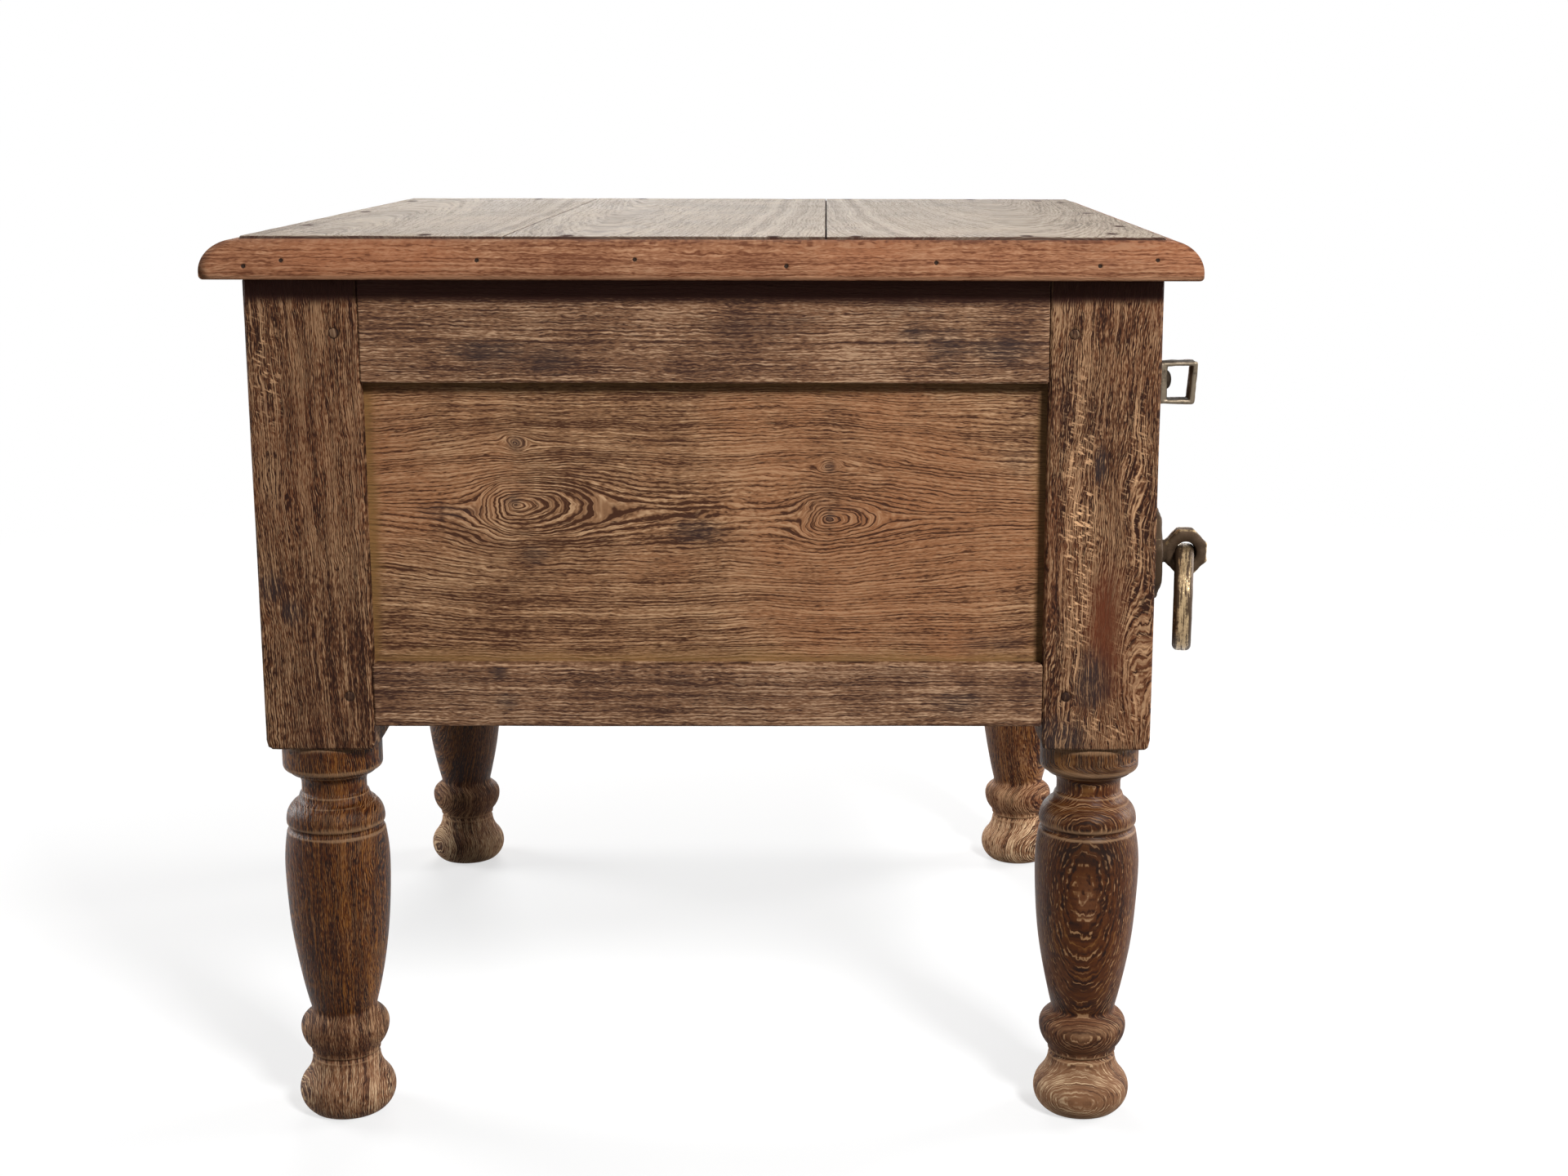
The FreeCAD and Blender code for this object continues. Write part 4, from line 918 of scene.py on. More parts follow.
def make_leg(label, middle, finish, seed):
    """One leg: a worn square post over a turned part, about the middle of the post.

    The outline's second difference tells where the turned part stands proud, which is rubbed, and
    where it is hollow, which holds dust."""
    post, quads, edge, pit = worn_post(middle, seed)
    profile = turned_profile()
    turned, faces = lathe(profile, LEG_COLUMNS)
    height = turned[:, 2]
    outer = np.linalg.norm(turned[:, :2], axis=1) > 1 * MM
    turned[:, :2] *= (1 - (0.006 + 0.004 * waves(turned, 60 * MM, seed + 3)) * (height > 1 * MM))[:, None]
    bend = np.interp(height, profile[:, 1], -np.gradient(np.gradient(profile[:, 0])) / (0.9 * MM)) * 6
    # painted shade and light: darker varnish on the vase, partly for its downward faces, and paler feet,
    # partly for their upward faces
    varnish = np.clip((height - VARNISH_FROM) / VARNISH_GROWS, 0, 1)
    varnish *= 0.85 + 0.15 * waves(turned, 50 * MM, seed + 5)
    faded = np.clip((FADED_LIT_BELOW - height) / FADED_LIT_GROWS, 0, 1)
    turned[:, :2] += middle
    no_post, no_turned = np.zeros(len(post)), np.zeros(len(turned))
    piece = make_piece(f"{label}_worn", [(post, quads), (turned, faces)],
                       edge=np.concatenate([edge, np.where(outer, np.clip(bend, 0, 1), 0)]),
                       pit=np.concatenate([pit, no_turned]),
                       varnish=np.concatenate([no_post, varnish]),
                       rim=np.concatenate([no_post, RIM_DUST * np.clip(-bend, 0, 1)]),
                       faded=np.concatenate([no_post, faded]),
                       grime=np.concatenate([shadow_and_grime_under_moulding(post), no_turned]))
    dress(piece, finish, "teak_post", label)


class LOWBOY_OT_legs(Operator):
    """Make the four legs: worn posts with their turned parts"""
    bl_idname = "lowboy.legs"
    bl_label = "Legs"

    def execute(self, context):
        tones = context.scene.lowboy_timber
        half = POST / 2
        corners = {
            "leg_front_left": (CASE_LEFT + half, CASE_FRONT + half),
            "leg_front_right": (CASE_RIGHT - half, CASE_FRONT + half),
            "leg_back_left": (CASE_LEFT + half, CASE_BACK - half),
            "leg_back_right": (CASE_RIGHT - half, CASE_BACK - half),
        }
        figures = {
            "leg_front_left": dict(pith=(-0.085, -0.062), lean=(-0.03, -0.05), pale=1.0, squiggle=0.9,
                                   spots=POST_SPOTS, shade=0.75, turned_pith=(-0.004, 0.060),
                                   varnish=scaled(tones.varnish, 1.08, 1.14, 1.19)),
            "leg_front_right": dict(pith=(0.090, 0.060), lean=(0.03, -0.05), pale=0.6, squiggle=0.5),
            "leg_back_left": dict(pith=(0.110, -0.020), lean=(0.02, 0.05), pale=0.7, squiggle=0.4,
                                  spots=BACK_POST_SPOTS, shade=0.71,
                                  varnish=scaled(tones.varnish, 1.15, 1.06, 0.74)),
            # painted shade: this leg stands in the case's shadow, so all its colours are darker and its
            # varnish less blue
            "leg_back_right": dict(pith=(-0.095, 0.060), lean=(-0.03, 0.05), pale=0.6, squiggle=0.5,
                                   shade=0.7, varnish=scaled(tones.varnish, 0.95, 0.92, 0.78)),
        }
        for index, (label, corner) in enumerate(corners.items()):
            finish = timber(f"{label}_teak", "ZYX", (*corner, 0.3), "post", ring=1.1 * MM, lines=1.25,
                            grit=1.45, bands=0.9, stains=0.35, dusty=0.6, dust=tones.pale_dust,
                            **figures[label])
            make_leg(label, np.array(corner), finish, 40 + 10 * index)
        return {"FINISHED"}


# stains of the left end's rails
RAIL_SPOTS = {
    "top_rail_left": (
        ("stain", (-0.3195, 0.155, 0.546), (0.01, 0.026, 0.008), 0.8),
        ("stain", (-0.3195, 0.117, 0.541), (0.01, 0.016, 0.010), 0.6),
        ("stain", (-0.3195, -0.123, 0.557), (0.01, 0.014, 0.007), 0.7),
        ("stain", (-0.3195, -0.144, 0.549), (0.01, 0.014, 0.011), 0.7),
        ("stain", (-0.3195, -0.176, 0.547), (0.01, 0.026, 0.008), 0.8),
    ),
    "low_rail_left": (
        ("stain", (-0.3195, 0.155, 0.3295), (0.01, 0.006, 0.004), 0.8),
        ("stain", (-0.3195, 0.151, 0.3096), (0.01, 0.008, 0.006), 0.9),
        ("stain", (-0.3195, -0.156, 0.3092), (0.01, 0.018, 0.009), 0.7),
    ),
}


class LOWBOY_OT_rails(Operator):
    """Make the rails of all four sides"""
    bl_idname = "lowboy.rails"
    bl_label = "Rails"

    def execute(self, context):
        sizes = context.scene.lowboy_wear
        for index, side in enumerate(SIDE_NAMES):
            for level in ("top", "low"):
                node = f"{level}_rail_{side}"
                low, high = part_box(node)
                thick = min(high.x - low.x, high.y - low.y)
                spans = side_box(side, (POST, side_length(side) - POST), (sizes.joint_gap, thick),
                                 (low.z, high.z))
                piece = block_piece(f"{node}_worn", *spans, sizes.rail_arris, 6 * MM,
                                    200 + 20 * index + (level == "low"))
                finish = timber(f"{node}_teak", side_axes(side), tuple((spans[0] + spans[1]) / 2), "rail",
                                ring=2.1 * MM, pith=(-0.25 if level == "top" else 0.3, 0.05), sway=0.5,
                                pale=0.35, stains=0.6 if level == "top" else 0.3, red=0.15,
                                spots=RAIL_SPOTS.get(node, ()))
                dress(piece, finish, "teak_rail", node)
        return {"FINISHED"}


# knots, about the middle of each panel: place along and up, reach of the rings up, and both ways along
PANEL_KNOTS = {
    "left": (((0.1265, 0.0535), 5 * MM, 12 * MM, 8 * MM), ((-0.0815, 0.038), 4 * MM, 10 * MM, 7 * MM),
             ((0.1295, 0.012), 17 * MM, 58 * MM, 22 * MM), ((-0.0825, 0.004), 12 * MM, 34 * MM, 18 * MM)),
    "right": (((-0.09, 0.02), 15 * MM, 40 * MM, 60 * MM),),
    "back": (((0.05, -0.03), 17 * MM, 60 * MM, 30 * MM),),
}
PANEL_SPOTS = {
    "left": (
        ("bold", (-0.308, 0.105, 0.440), (0.05, 0.085, 0.032), 1.0),
        ("bold", (-0.308, -0.080, 0.436), (0.05, 0.050, 0.026), 0.8),
        ("stain", (-0.308, 0.185, 0.4375), (0.01, 0.026, 0.006), 0.6),
        ("stain", (-0.308, 0.144, 0.4455), (0.01, 0.006, 0.006), 0.8),
        ("stain", (-0.308, 0.130, 0.408), (0.01, 0.009, 0.007), 0.6),
        ("stain", (-0.308, 0.021, 0.424), (0.01, 0.017, 0.008), 0.7),
        ("stain", (-0.308, 0.141, 0.4836), (0.01, 0.006, 0.005), 0.7),
        ("stain", (-0.308, -0.067, 0.434), (0.01, 0.004, 0.004), 0.8),
        ("stain", (-0.308, -0.067, 0.468), (0.01, 0.004, 0.004), 0.7),
        ("stain", (-0.308, -0.192, 0.472), (0.01, 0.010, 0.009), 0.4),
        ("stain", (-0.308, -0.175, 0.346), (0.01, 0.018, 0.009), 0.5),
    ),
}


def ways_to_frame(side, points):
    """How far each point of a panel is from its frame, and from the posts alone."""
    start, end, axis = ((CASE_LEFT, CASE_RIGHT, 0) if side == "back" else (CASE_FRONT, CASE_BACK, 1))
    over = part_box(f"top_rail_{side}")[0].z - points[:, 2]
    under = points[:, 2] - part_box(f"low_rail_{side}")[1].z
    posts = np.minimum(points[:, axis] - start - POST, end - POST - points[:, axis])
    return np.minimum(np.minimum(over, under), posts), posts


class LOWBOY_OT_panels(Operator):
    """Make the flat panels of both ends and the back"""
    bl_idname = "lowboy.panels"
    bl_label = "Panels"

    def execute(self, context):
        for index, side in enumerate(("left", "right", "back")):
            node = f"panel_{side}"
            low, high = box_corners(node)
            points, quads, _, pit = worn_block(low, high, 0.6 * MM, 7 * MM, 300 + 9 * index,
                                                  dents=0.2 * MM, ripple=0.5 * MM)
            frame_way, post_way = (np.clip(way, 0, None) for way in ways_to_frame(side, points))
            piece = make_piece(f"{node}_worn", [(points, quads)], pit=pit,
                               rim=np.exp(-frame_way / (11 * MM)),
                               varnish=0.8 * np.exp(-post_way / (7 * MM)))
            finish = timber(f"{node}_teak", side_axes(side), tuple((low + high) / 2), "panel", sway=1.1,
                            wiggle=0.7, knots=PANEL_KNOTS[side], spots=PANEL_SPOTS.get(side, ()),
                            ring=2.3 * MM, pale=0.3, stains=0.25, dusty=0.8, lines=1.1, red=0.7)
            dress(piece, finish, "teak_panel", node)
        return {"FINISHED"}


class LOWBOY_OT_pegs(Operator):
    """Make the ends of the pegs, a little sunk and crowned"""
    bl_idname = "lowboy.pegs"
    bl_label = "Pegs"

    def execute(self, context):
        crown = [(0.0, -PEG_DEEP), (PEG_RADIUS * 0.96, -PEG_DEEP), (PEG_RADIUS * 0.96, -0.9 * MM),
                 (PEG_RADIUS * 0.8, -0.55 * MM), (PEG_RADIUS * 0.4, -0.4 * MM), (0.0, -0.35 * MM)]
        points, faces = lathe(np.array(crown), 20)
        shells = []
        for side, place in peg_places():
            turn = np.array(Vector((0, 0, 1)).rotation_difference(Vector(OUTWARD[side])).to_matrix())
            shells.append((points @ turn.T + np.array(place), faces))
        piece = make_piece("joint_peg_ends", shells)
        finish = timber("peg_teak", "ZYX", (0, 0, 0.4), "rail", pale=0.3, shade=0.5)
        dress(piece, finish, "peg_wood", "joint_pegs")
        return {"FINISHED"}


# ------------------------------------------------------------------ the top
# radius and depth of the plugs over a board's nails, and how far rust spreads round them
PLUG_RADIUS, PLUG_DEPTH = 4.4 * MM, 0.9 * MM
RUST_LONG, RUST_WIDE = 16 * MM, 5.5 * MM
# plugs near both ends of the boards: from the end and from the front
END_PLUGS = ((0.016, 0.483), (0.010, 0.389), (0.005, 0.255), (0.007, 0.201), (0.011, 0.089), (0.043, 0.030))
# plugs along the front and the back: how far in, and where along X
EDGE_INSET = 12.6 * MM
EDGE_PLUGS = (-0.178, 0.032, 0.243)
# how far two boards reach past their joint, so that it closes
SEAM = 0.1 * MM

# the moulding's section, in millimetres: width, height, radius of its quarter round, lower bevel
MOULDING_WIDE, MOULDING_TALL, MOULDING_ROUND, MOULDING_UNDER = 22.0, 25.0, 20.0, 1.2
# its nails: metres along from a side's left corner, at the left end from its right one, and millimetres up
MOULDING_NAILS = ((0.008, 13.4), (0.045, 9.7), (0.150, 11.6), (0.246, 9.3), (0.343, 13.3), (0.444, 12.6),
                  (0.569, 12.4), (0.593, 8.7))
NAIL_RADIUS, NAIL_DEPTH = 1.5 * MM, 1.2 * MM
# cuts along a moulding: even ones, and those round each nail
MOULDING_CUTS, NAIL_CUTS, NAIL_REACH = 90, 17, 3.2 * MM


def make_board(label, arris, seed, pith, lean):
    """One board of the top with its plugged nail holes, rusty round them and with painted shade along its
    edges.
    """
    node = f"top_board_{label}"
    low, high = box_corners(node)
    low[1] -= (label != "front") * SEAM
    high[1] += (label != "back") * SEAM
    places = [(x, CASE_FRONT + along) for inset, along in END_PLUGS
              for x in (CASE_LEFT + inset, CASE_RIGHT - inset)]
    places += [(x, y) for y in (CASE_FRONT + EDGE_INSET, CASE_BACK - EDGE_INSET) for x in EDGE_PLUGS]
    # sunk plugs over the nails, painted dark as shade in their hollows
    pits = [((x, y, high[2]), PLUG_RADIUS, PLUG_DEPTH) for x, y in places if low[1] < y < high[1]]
    points, quads, edge, pit = worn_block(low, high, arris, 7 * MM, seed, pits=pits, dents=arris)
    near = np.minimum(points - low, high - points)[:, :2].min(axis=1)
    rusty = np.zeros(len(points))
    for hole in pits:
        away = (points - hole[0]) / (RUST_LONG, RUST_WIDE, RUST_WIDE)
        rusty = np.maximum(rusty, np.exp(-(away ** 2).sum(axis=1)))
    # painted shade: the dark line along the boards' edges paints the shadow of their step over the
    # mouldings; round the plugs the same number is rust
    grime = np.maximum(0.66 * np.clip(1.4 - near / arris, 0, 1), 0.9 * rusty)
    piece = make_piece(f"{node}_worn", [(points, quads)], edge=edge * (near > arris), pit=pit, grime=grime)
    finish = timber(f"{node}_teak", "XYZ", tuple((low + high) / 2), "board", pith=(pith, -0.03),
                    lean=(0.0, lean), sway=0.8, roughness=0.75, level=0.06, red=0.1, lines=0.6)
    dress(piece, finish, "teak_top", node)


class LOWBOY_OT_boards(Operator):
    """Make the three boards of the top with their plugged nail holes"""
    bl_idname = "lowboy.boards"
    bl_label = "Top boards"

    def execute(self, context):
        arris = context.scene.lowboy_wear.board_arris
        make_board("front", arris, 400, pith=-0.03, lean=0.10)
        make_board("middle", arris, 407, pith=0.05, lean=0.04)
        make_board("back", arris, 414, pith=0.04, lean=-0.06)
        return {"FINISHED"}


def moulding_outline():
    """Section of a moulding as (out from the case, up): a quarter round over a small bevel."""
    wide, tall, curve, under = MOULDING_WIDE, MOULDING_TALL, MOULDING_ROUND, MOULDING_UNDER
    return softened(np.concatenate([
        [(0.0, 0.0), (0.0, tall), (wide - curve - 0.4, tall)],
        arc((wide - curve, tall), (wide, tall - curve), curve, 1, 0.8),
        [(wide, under + 0.6), (wide - under, 0.2), (wide - 2 * under, 0.0)],
    ]) * MM, 0.8 * MM, 1)


def make_moulding(side, seed):
    """One moulding: its section carried along the side, longer at each end by how far it stands out,
    which makes the mitres. It is worn along its lower lip and has a pit at each nail."""
    node = f"moulding_{side}"
    outline = moulding_outline()
    wide = MOULDING_WIDE * MM
    long = side_length(side)
    nails = [(long - along if side == "left" else along, height) for along, height in MOULDING_NAILS]
    reach = np.linspace(-NAIL_REACH, NAIL_REACH, NAIL_CUTS) / long
    near = [(along + wide) / (long + 2 * wide) + reach for along, height in nails]
    share = np.unique(np.clip(np.concatenate([np.linspace(0, 1, MOULDING_CUTS), *near]), 0, 1))
    across, up = outline.T
    run = -across[None] + share[:, None] * (long + 2 * across[None])
    run = np.clip(run, -across + 0.15 * MM, long + across - 0.15 * MM)
    flat = np.stack([run, np.broadcast_to(across, run.shape), np.broadcast_to(up, run.shape)], axis=-1)
    points = flat.reshape(-1, 3)
    rough = unevenness(waves(points, 30 * MM, seed) * 0.45)
    lip = np.exp(-((points[:, 1] - wide) ** 2 + (points[:, 2] - 1.5 * MM) ** 2) / (1.8 * MM) ** 2)
    sunk = rough * 0.3 * MM * (points[:, 1] > 1 * MM) + lip * rough ** 2 * 0.9 * MM
    pit = np.zeros(len(points))
    for along, height in nails:
        fall = height - (MOULDING_TALL - MOULDING_ROUND)
        out = math.sqrt(MOULDING_ROUND ** 2 - fall ** 2) + MOULDING_WIDE - MOULDING_ROUND
        pit = np.maximum(pit, pitted(points, (along, out * MM, height * MM), NAIL_RADIUS))
    points[:, 1] -= sunk + pit * NAIL_DEPTH
    start = np.array(side_point(side, 0, 0, POSTS_TOP))
    step = np.array(side_point(side, 1, 0, POSTS_TOP)) - start
    inward = np.array(side_point(side, 0, 1, POSTS_TOP)) - start
    placed = start + points[:, :1] * step - points[:, 1:2] * inward + points[:, 2:] * np.array([0, 0, 1])
    rows, columns = len(share), len(outline)
    first = list(range(columns))
    last = list(range((rows - 1) * columns, rows * columns))
    faces = tube_quads(rows, columns)[:-columns].tolist() + [first[::-1], last]
    # the lower lip is worn paler; the pale rim round each nail pit is rubbed wood and a painted highlight
    edge = np.clip(lip * 1.2 + 3 * pit * (1 - pit), 0, 1)
    piece = make_piece(f"{node}_worn", [(placed, faces)], edge=edge, pit=pit)
    centre = side_point(side, long / 2, -0.011, POSTS_TOP + 0.012)
    finish = timber(f"{node}_teak", side_axes(side), centre, "moulding", pith=(-0.3, 0.05), sway=0.35,
                    pale=0.2, stains=0.2, lines=0.8, red=0.5)
    dress(piece, finish, "teak_moulding", node)


class LOWBOY_OT_mouldings(Operator):
    """Make the four quarter-round mouldings with their mitres and nail pits"""
    bl_idname = "lowboy.mouldings"
    bl_label = "Mouldings"

    def execute(self, context):
        for index, side in enumerate(SIDE_NAMES):
            make_moulding(side, 500 + index)
        return {"FINISHED"}


# ------------------------------------------------------------------ the drawer
LIP_DEEP, LIP_ROUND = 8.6 * MM, 5 * MM
# the front's inner part stands back from the outside of the drawer's sides
INNER_INSET = 0.3 * MM


def drawer_lip(low, high):
    """The lipped face: a flat board whose front falls away to its rim in a quarter circle."""
    axes = (cuts(low[0], high[0], LIP_ROUND, 6 * MM), np.linspace(low[1], low[1] + LIP_DEEP, 6),
            cuts(low[2], high[2], LIP_ROUND, 6 * MM))
    points, quads = box_lattice(*axes)
    inset = np.minimum(points - low, high - points)[:, ::2].min(axis=1)
    front = points[:, 1] < low[1] + 0.01 * MM
    drop = LIP_ROUND - np.sqrt(np.clip(LIP_ROUND ** 2 - np.clip(LIP_ROUND - inset, 0, None) ** 2, 0, None))
    slow = unevenness(waves(points, 80 * MM, 601) * 0.4)
    wall = low[1] + LIP_ROUND + (points[:, 1] - low[1]) * (LIP_DEEP - LIP_ROUND) / LIP_DEEP
    points[:, 1] = np.where(front, low[1] + drop + slow * 0.3 * MM * (drop < 4 * MM), wall)
    edge = 0.8 * np.clip(1 - np.abs(inset - LIP_ROUND * 0.4) / (3 * MM), 0, 1) * front
    rim = np.exp(-np.clip(inset - LIP_ROUND, 0, None) / (14 * MM)) * front
    return points, quads, edge, rim


class LOWBOY_OT_drawer_front(Operator):
    """Make the drawer front with its rounded lip"""
    bl_idname = "lowboy.drawer_front"
    bl_label = "Drawer front"

    def execute(self, context):
        low, high = box_corners("drawer_front")
        lip, lip_quads, edge, rim = drawer_lip(low, high)
        side_low, side_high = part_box("drawer_side_left")
        inner_low = (side_low.x + INNER_INSET, low[1] + LIP_DEEP, side_low.z)
        inner_high = (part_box("drawer_side_right")[1].x - INNER_INSET, high[1], side_high.z)
        inner, inner_quads, inner_edge, _ = worn_block(inner_low, inner_high, 0.8 * MM, 9 * MM, 610)
        piece = make_piece("drawer_front_worn", [(lip, lip_quads), (inner, inner_quads)],
                           edge=np.concatenate([edge, inner_edge]),
                           rim=np.concatenate([rim, np.zeros(len(inner))]))
        finish = timber("drawer_front_teak", "XZY", tuple((low + high) / 2), "panel", pith=(0.01, 0.045),
                        lean=(0.0, 0.10), knots=(((-0.06, 0.03), 14 * MM, 30 * MM, 60 * MM),),
                        pale=0.45, stains=0.35, dusty=0.4)
        dress(piece, finish, "teak_drawer_front", "drawer_front")
        return {"FINISHED"}


def dress_solid(node, finish):
    """Give a solid of the frame a finish of its own."""
    NODES[node].data.materials.clear()
    NODES[node].data.materials.append(finish)


class LOWBOY_OT_inside(Operator):
    """Give the drawer box, its runners and the nuts their finish"""
    bl_idname = "lowboy.inside"
    bl_label = "Inside pieces"

    def execute(self, context):
        metals = context.scene.lowboy_metal
        grains = {
            "drawer_side_left": "YZX", "drawer_side_right": "YZX", "drawer_back": "XZY",
            "drawer_bottom": "XYZ", "drawer_runner_left": "YZX", "drawer_runner_right": "YZX",
            "drawer_guide_left": "YZX", "drawer_guide_right": "YZX",
            "drawer_kicker_left": "YZX", "drawer_kicker_right": "YZX",
        }
        for index, (node, axes) in enumerate(grains.items()):
            low, high = box_corners(node)
            finish = timber(f"{node}_teak", axes, tuple((low + high) / 2), "inside", sway=0.6, pale=0.3,
                            pith=(0.25 - 0.04 * index, 0.07), stains=0.25, roughness=0.7, red=0.2)
            dress_solid(node, finish)
        nut_finish = forged("nut_iron", metals.iron, metals.iron_dark, bright=0.4)
        for node in ("pull_nut_left", "pull_nut_right", "pull_washer_left", "pull_washer_right"):
            dress_solid(node, nut_finish)
        return {"FINISHED"}


# ------------------------------------------------------------------ the pulls
# from the plate to the knob
EYE_SPACE = 4 * MM
# the plate is turned by so many degrees, the ring stands askew by so many
PLATE_RADIUS, PLATE_THICK, PLATE_TURN, PLATE_BEVEL = 34.5 * MM, 7 * MM, 12.0, 2.2 * MM
PLATE_COLUMNS = 192
KNOB_DEEP, KNOB_HIGH, KNOB_WIDE = 31 * MM, 33 * MM, 14 * MM
KNOB_CORNER, KNOB_CHAMFER = 10 * MM, 2.4 * MM
KNOB_COLUMNS = 160
EYE_THROAT, EYE_MOUTH = 7.2 * MM, 8.0 * MM
NECK_RADIUS, FLANGE_RADIUS = 8.2 * MM, 9.6 * MM
RING_RADIUS, RING_BAND, RING_THICK, RING_CORNER = 38.6 * MM, 13.6 * MM, 10.5 * MM, 4.2 * MM
RING_SKEW = 8.8
RING_COLUMNS = 220


def pull_centre(label):
    """Where a pull's stem comes out of the drawer front."""
    low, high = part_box(f"pull_plate_{label}")
    return np.array([(low.x + high.x) / 2, high.y, (low.z + high.z) / 2])


def facing_out(place, points):
    """Points worked out flat, with +Z towards the front, set upright about a place."""
    return np.stack([place[0] + points[:, 0], place[1] - points[:, 2], place[2] + points[:, 1]], axis=1)


def flats_radius(turn, flats, sharpness):
    """Radius of a shape with flats, each (direction, distance): soft minimum of distance over cosine."""
    total = sum(np.clip(np.cos(turn - way), 0, None) ** sharpness / gap ** sharpness for way, gap in flats)
    return total ** (-1 / sharpness)


def carried_round(turn, section):
    """A closed section of (radius, side) carried round an axis; radius may change with the angle.

    Returns points as (along x of the circle, along y of the circle, side) and the quads between."""
    radius, side = section
    points = np.stack([radius * np.cos(turn)[:, None], radius * np.sin(turn)[:, None],
                       np.broadcast_to(side, radius.shape)], axis=-1).reshape(-1, 3)
    return points, tube_quads(*radius.shape)


def make_plate(label, sign, finish):
    """The eight-sided back plate, bevelled and hammered, with its stem hole."""
    turn = circle(PLATE_COLUMNS)
    apothem = PLATE_RADIUS * math.cos(math.pi / 8)
    first = math.radians(PLATE_TURN * sign) + math.pi / 8
    corner = flats_radius(turn, [(first + side * math.pi / 4, apothem) for side in range(8)], 60)
    thick, bevel = PLATE_THICK, PLATE_BEVEL
    # from the hole out over the face, down the bevelled edge and back in under it
    share = np.concatenate([np.linspace(0.13, 1, 14), [1.0, 1.0, 1.0], np.linspace(1, 0.13, 6)])
    lift = np.concatenate([np.full(14, thick), [thick - bevel * 0.35, thick - bevel, 0.3 * MM],
                           np.zeros(6)])
    inset = np.concatenate([np.zeros(13), [bevel, bevel * 0.35, 0, 0, 0.3 * MM], np.zeros(5)])
    points, quads = carried_round(turn, (corner[:, None] * share[None] - inset[None], lift))
    dent = hammer_marks(points, 13 * MM, 700 + sign, 0.35 * MM)
    points[:, 2] -= dent * (points[:, 2] > thick * 0.5)
    from_middle = np.linalg.norm(points[:, :2], axis=1)
    rim = np.clip((from_middle - (PLATE_RADIUS - 6 * MM)) / (5 * MM), 0, 1)
    piece = make_piece(f"pull_plate_{label}_worn", [(facing_out(pull_centre(label), points), quads)],
                       edge=0.3 * rim * (points[:, 2] > 3 * MM))
    dress(piece, finish, "dark_brass", f"pull_plate_{label}")


def knob_neck(label):
    """The stem through the plate and its flared neck, turned about the pull's own line."""
    place = pull_centre(label)
    inner_end = place[1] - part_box(f"pull_knob_{label}")[1].y
    neck_end = PLATE_THICK + EYE_SPACE + 2 * MM
    stem = np.array([
        (0.0, inner_end), (3.4 * MM, inner_end), (4.0 * MM, inner_end + 0.8 * MM), (4.0 * MM, PLATE_THICK),
        (FLANGE_RADIUS - 0.2 * MM, PLATE_THICK), (FLANGE_RADIUS, PLATE_THICK + 1.2 * MM),
        (NECK_RADIUS, PLATE_THICK + 2.4 * MM), (NECK_RADIUS - 0.2 * MM, neck_end), (0.0, neck_end),
    ])
    neck, faces = lathe(stem, 40)
    return facing_out(place, neck), faces


def make_knob(label, sign, finish):
    """The faceted knob with a flared eye, carried round the eye's axis, on its neck and stem."""
    place = pull_centre(label)
    turn = circle(KNOB_COLUMNS)
    half, chamfer = KNOB_WIDE / 2, KNOB_CHAMFER / (KNOB_WIDE / 2)
    slant = (KNOB_DEEP / 2 + KNOB_HIGH / 2 - KNOB_CORNER) / math.sqrt(2)
    flats = [(0, KNOB_DEEP / 2), (np.pi / 2, KNOB_HIGH / 2), (np.pi, KNOB_DEEP / 2),
             (-np.pi / 2, KNOB_HIGH / 2)]
    flats += [(np.pi / 4 + corner * np.pi / 2, slant) for corner in range(4)]
    outer = flats_radius(turn, flats, 70)
    # through the eye, then over one face, the chamfered outside and the other face back to it
    throat = np.linspace(-1, 1, 9)
    side = half * np.concatenate([throat, [1, 1, 1 - 0.3 * chamfer, 1 - chamfer, 0],
                                  [chamfer - 1, 0.3 * chamfer - 1, -1, -1]])
    inner = EYE_THROAT + (EYE_MOUTH - EYE_THROAT) * throat ** 2
    faces = (outer[:, None] + EYE_MOUTH) / 2
    outside = outer[:, None] - KNOB_CHAMFER * np.array([1, 0.3, 0, 0, 0, 0.3, 1])
    through = np.broadcast_to(inner, (len(turn), len(inner)))
    radius = np.concatenate([through, faces, outside, faces], axis=1)
    points, quads = carried_round(turn, (radius, side))
    hammered = hammer_marks(points, 8 * MM, 720 + sign, 0.45 * MM, most=1.5)
    from_eye = np.linalg.norm(points[:, :2], axis=1)
    share = np.clip((from_eye - EYE_MOUTH - 1 * MM) / (4 * MM), 0, 1)
    points[:, :2] *= (1 - hammered * share / np.maximum(from_eye, MM))[:, None]
    points[:, 2] -= np.sign(points[:, 2]) * hammered * 0.6 * (np.abs(points[:, 2]) > half - MM)
    middle_y = place[1] - PLATE_THICK - EYE_SPACE - KNOB_DEEP / 2
    row = np.stack([place[0] + points[:, 2], middle_y + points[:, 0], place[2] + points[:, 1]], axis=1)
    at_side = np.abs(np.abs(points[:, 2]) - half) < 2.6 * MM
    rim = np.clip((from_eye - outer.min() + 1.5 * MM) / (2 * MM), 0, 1) * at_side
    mouth = np.clip(1 - (from_eye - EYE_THROAT) / (1.4 * MM), 0, 1)
    neck, neck_faces = knob_neck(label)
    piece = make_piece(f"pull_knob_{label}_worn", [(row, quads), (neck, neck_faces)],
                       edge=np.concatenate([rim, np.zeros(len(neck))]),
                       pit=np.concatenate([mouth * 0.6, np.zeros(len(neck))]))
    dress(piece, finish, "dark_brass", f"pull_knob_{label}")


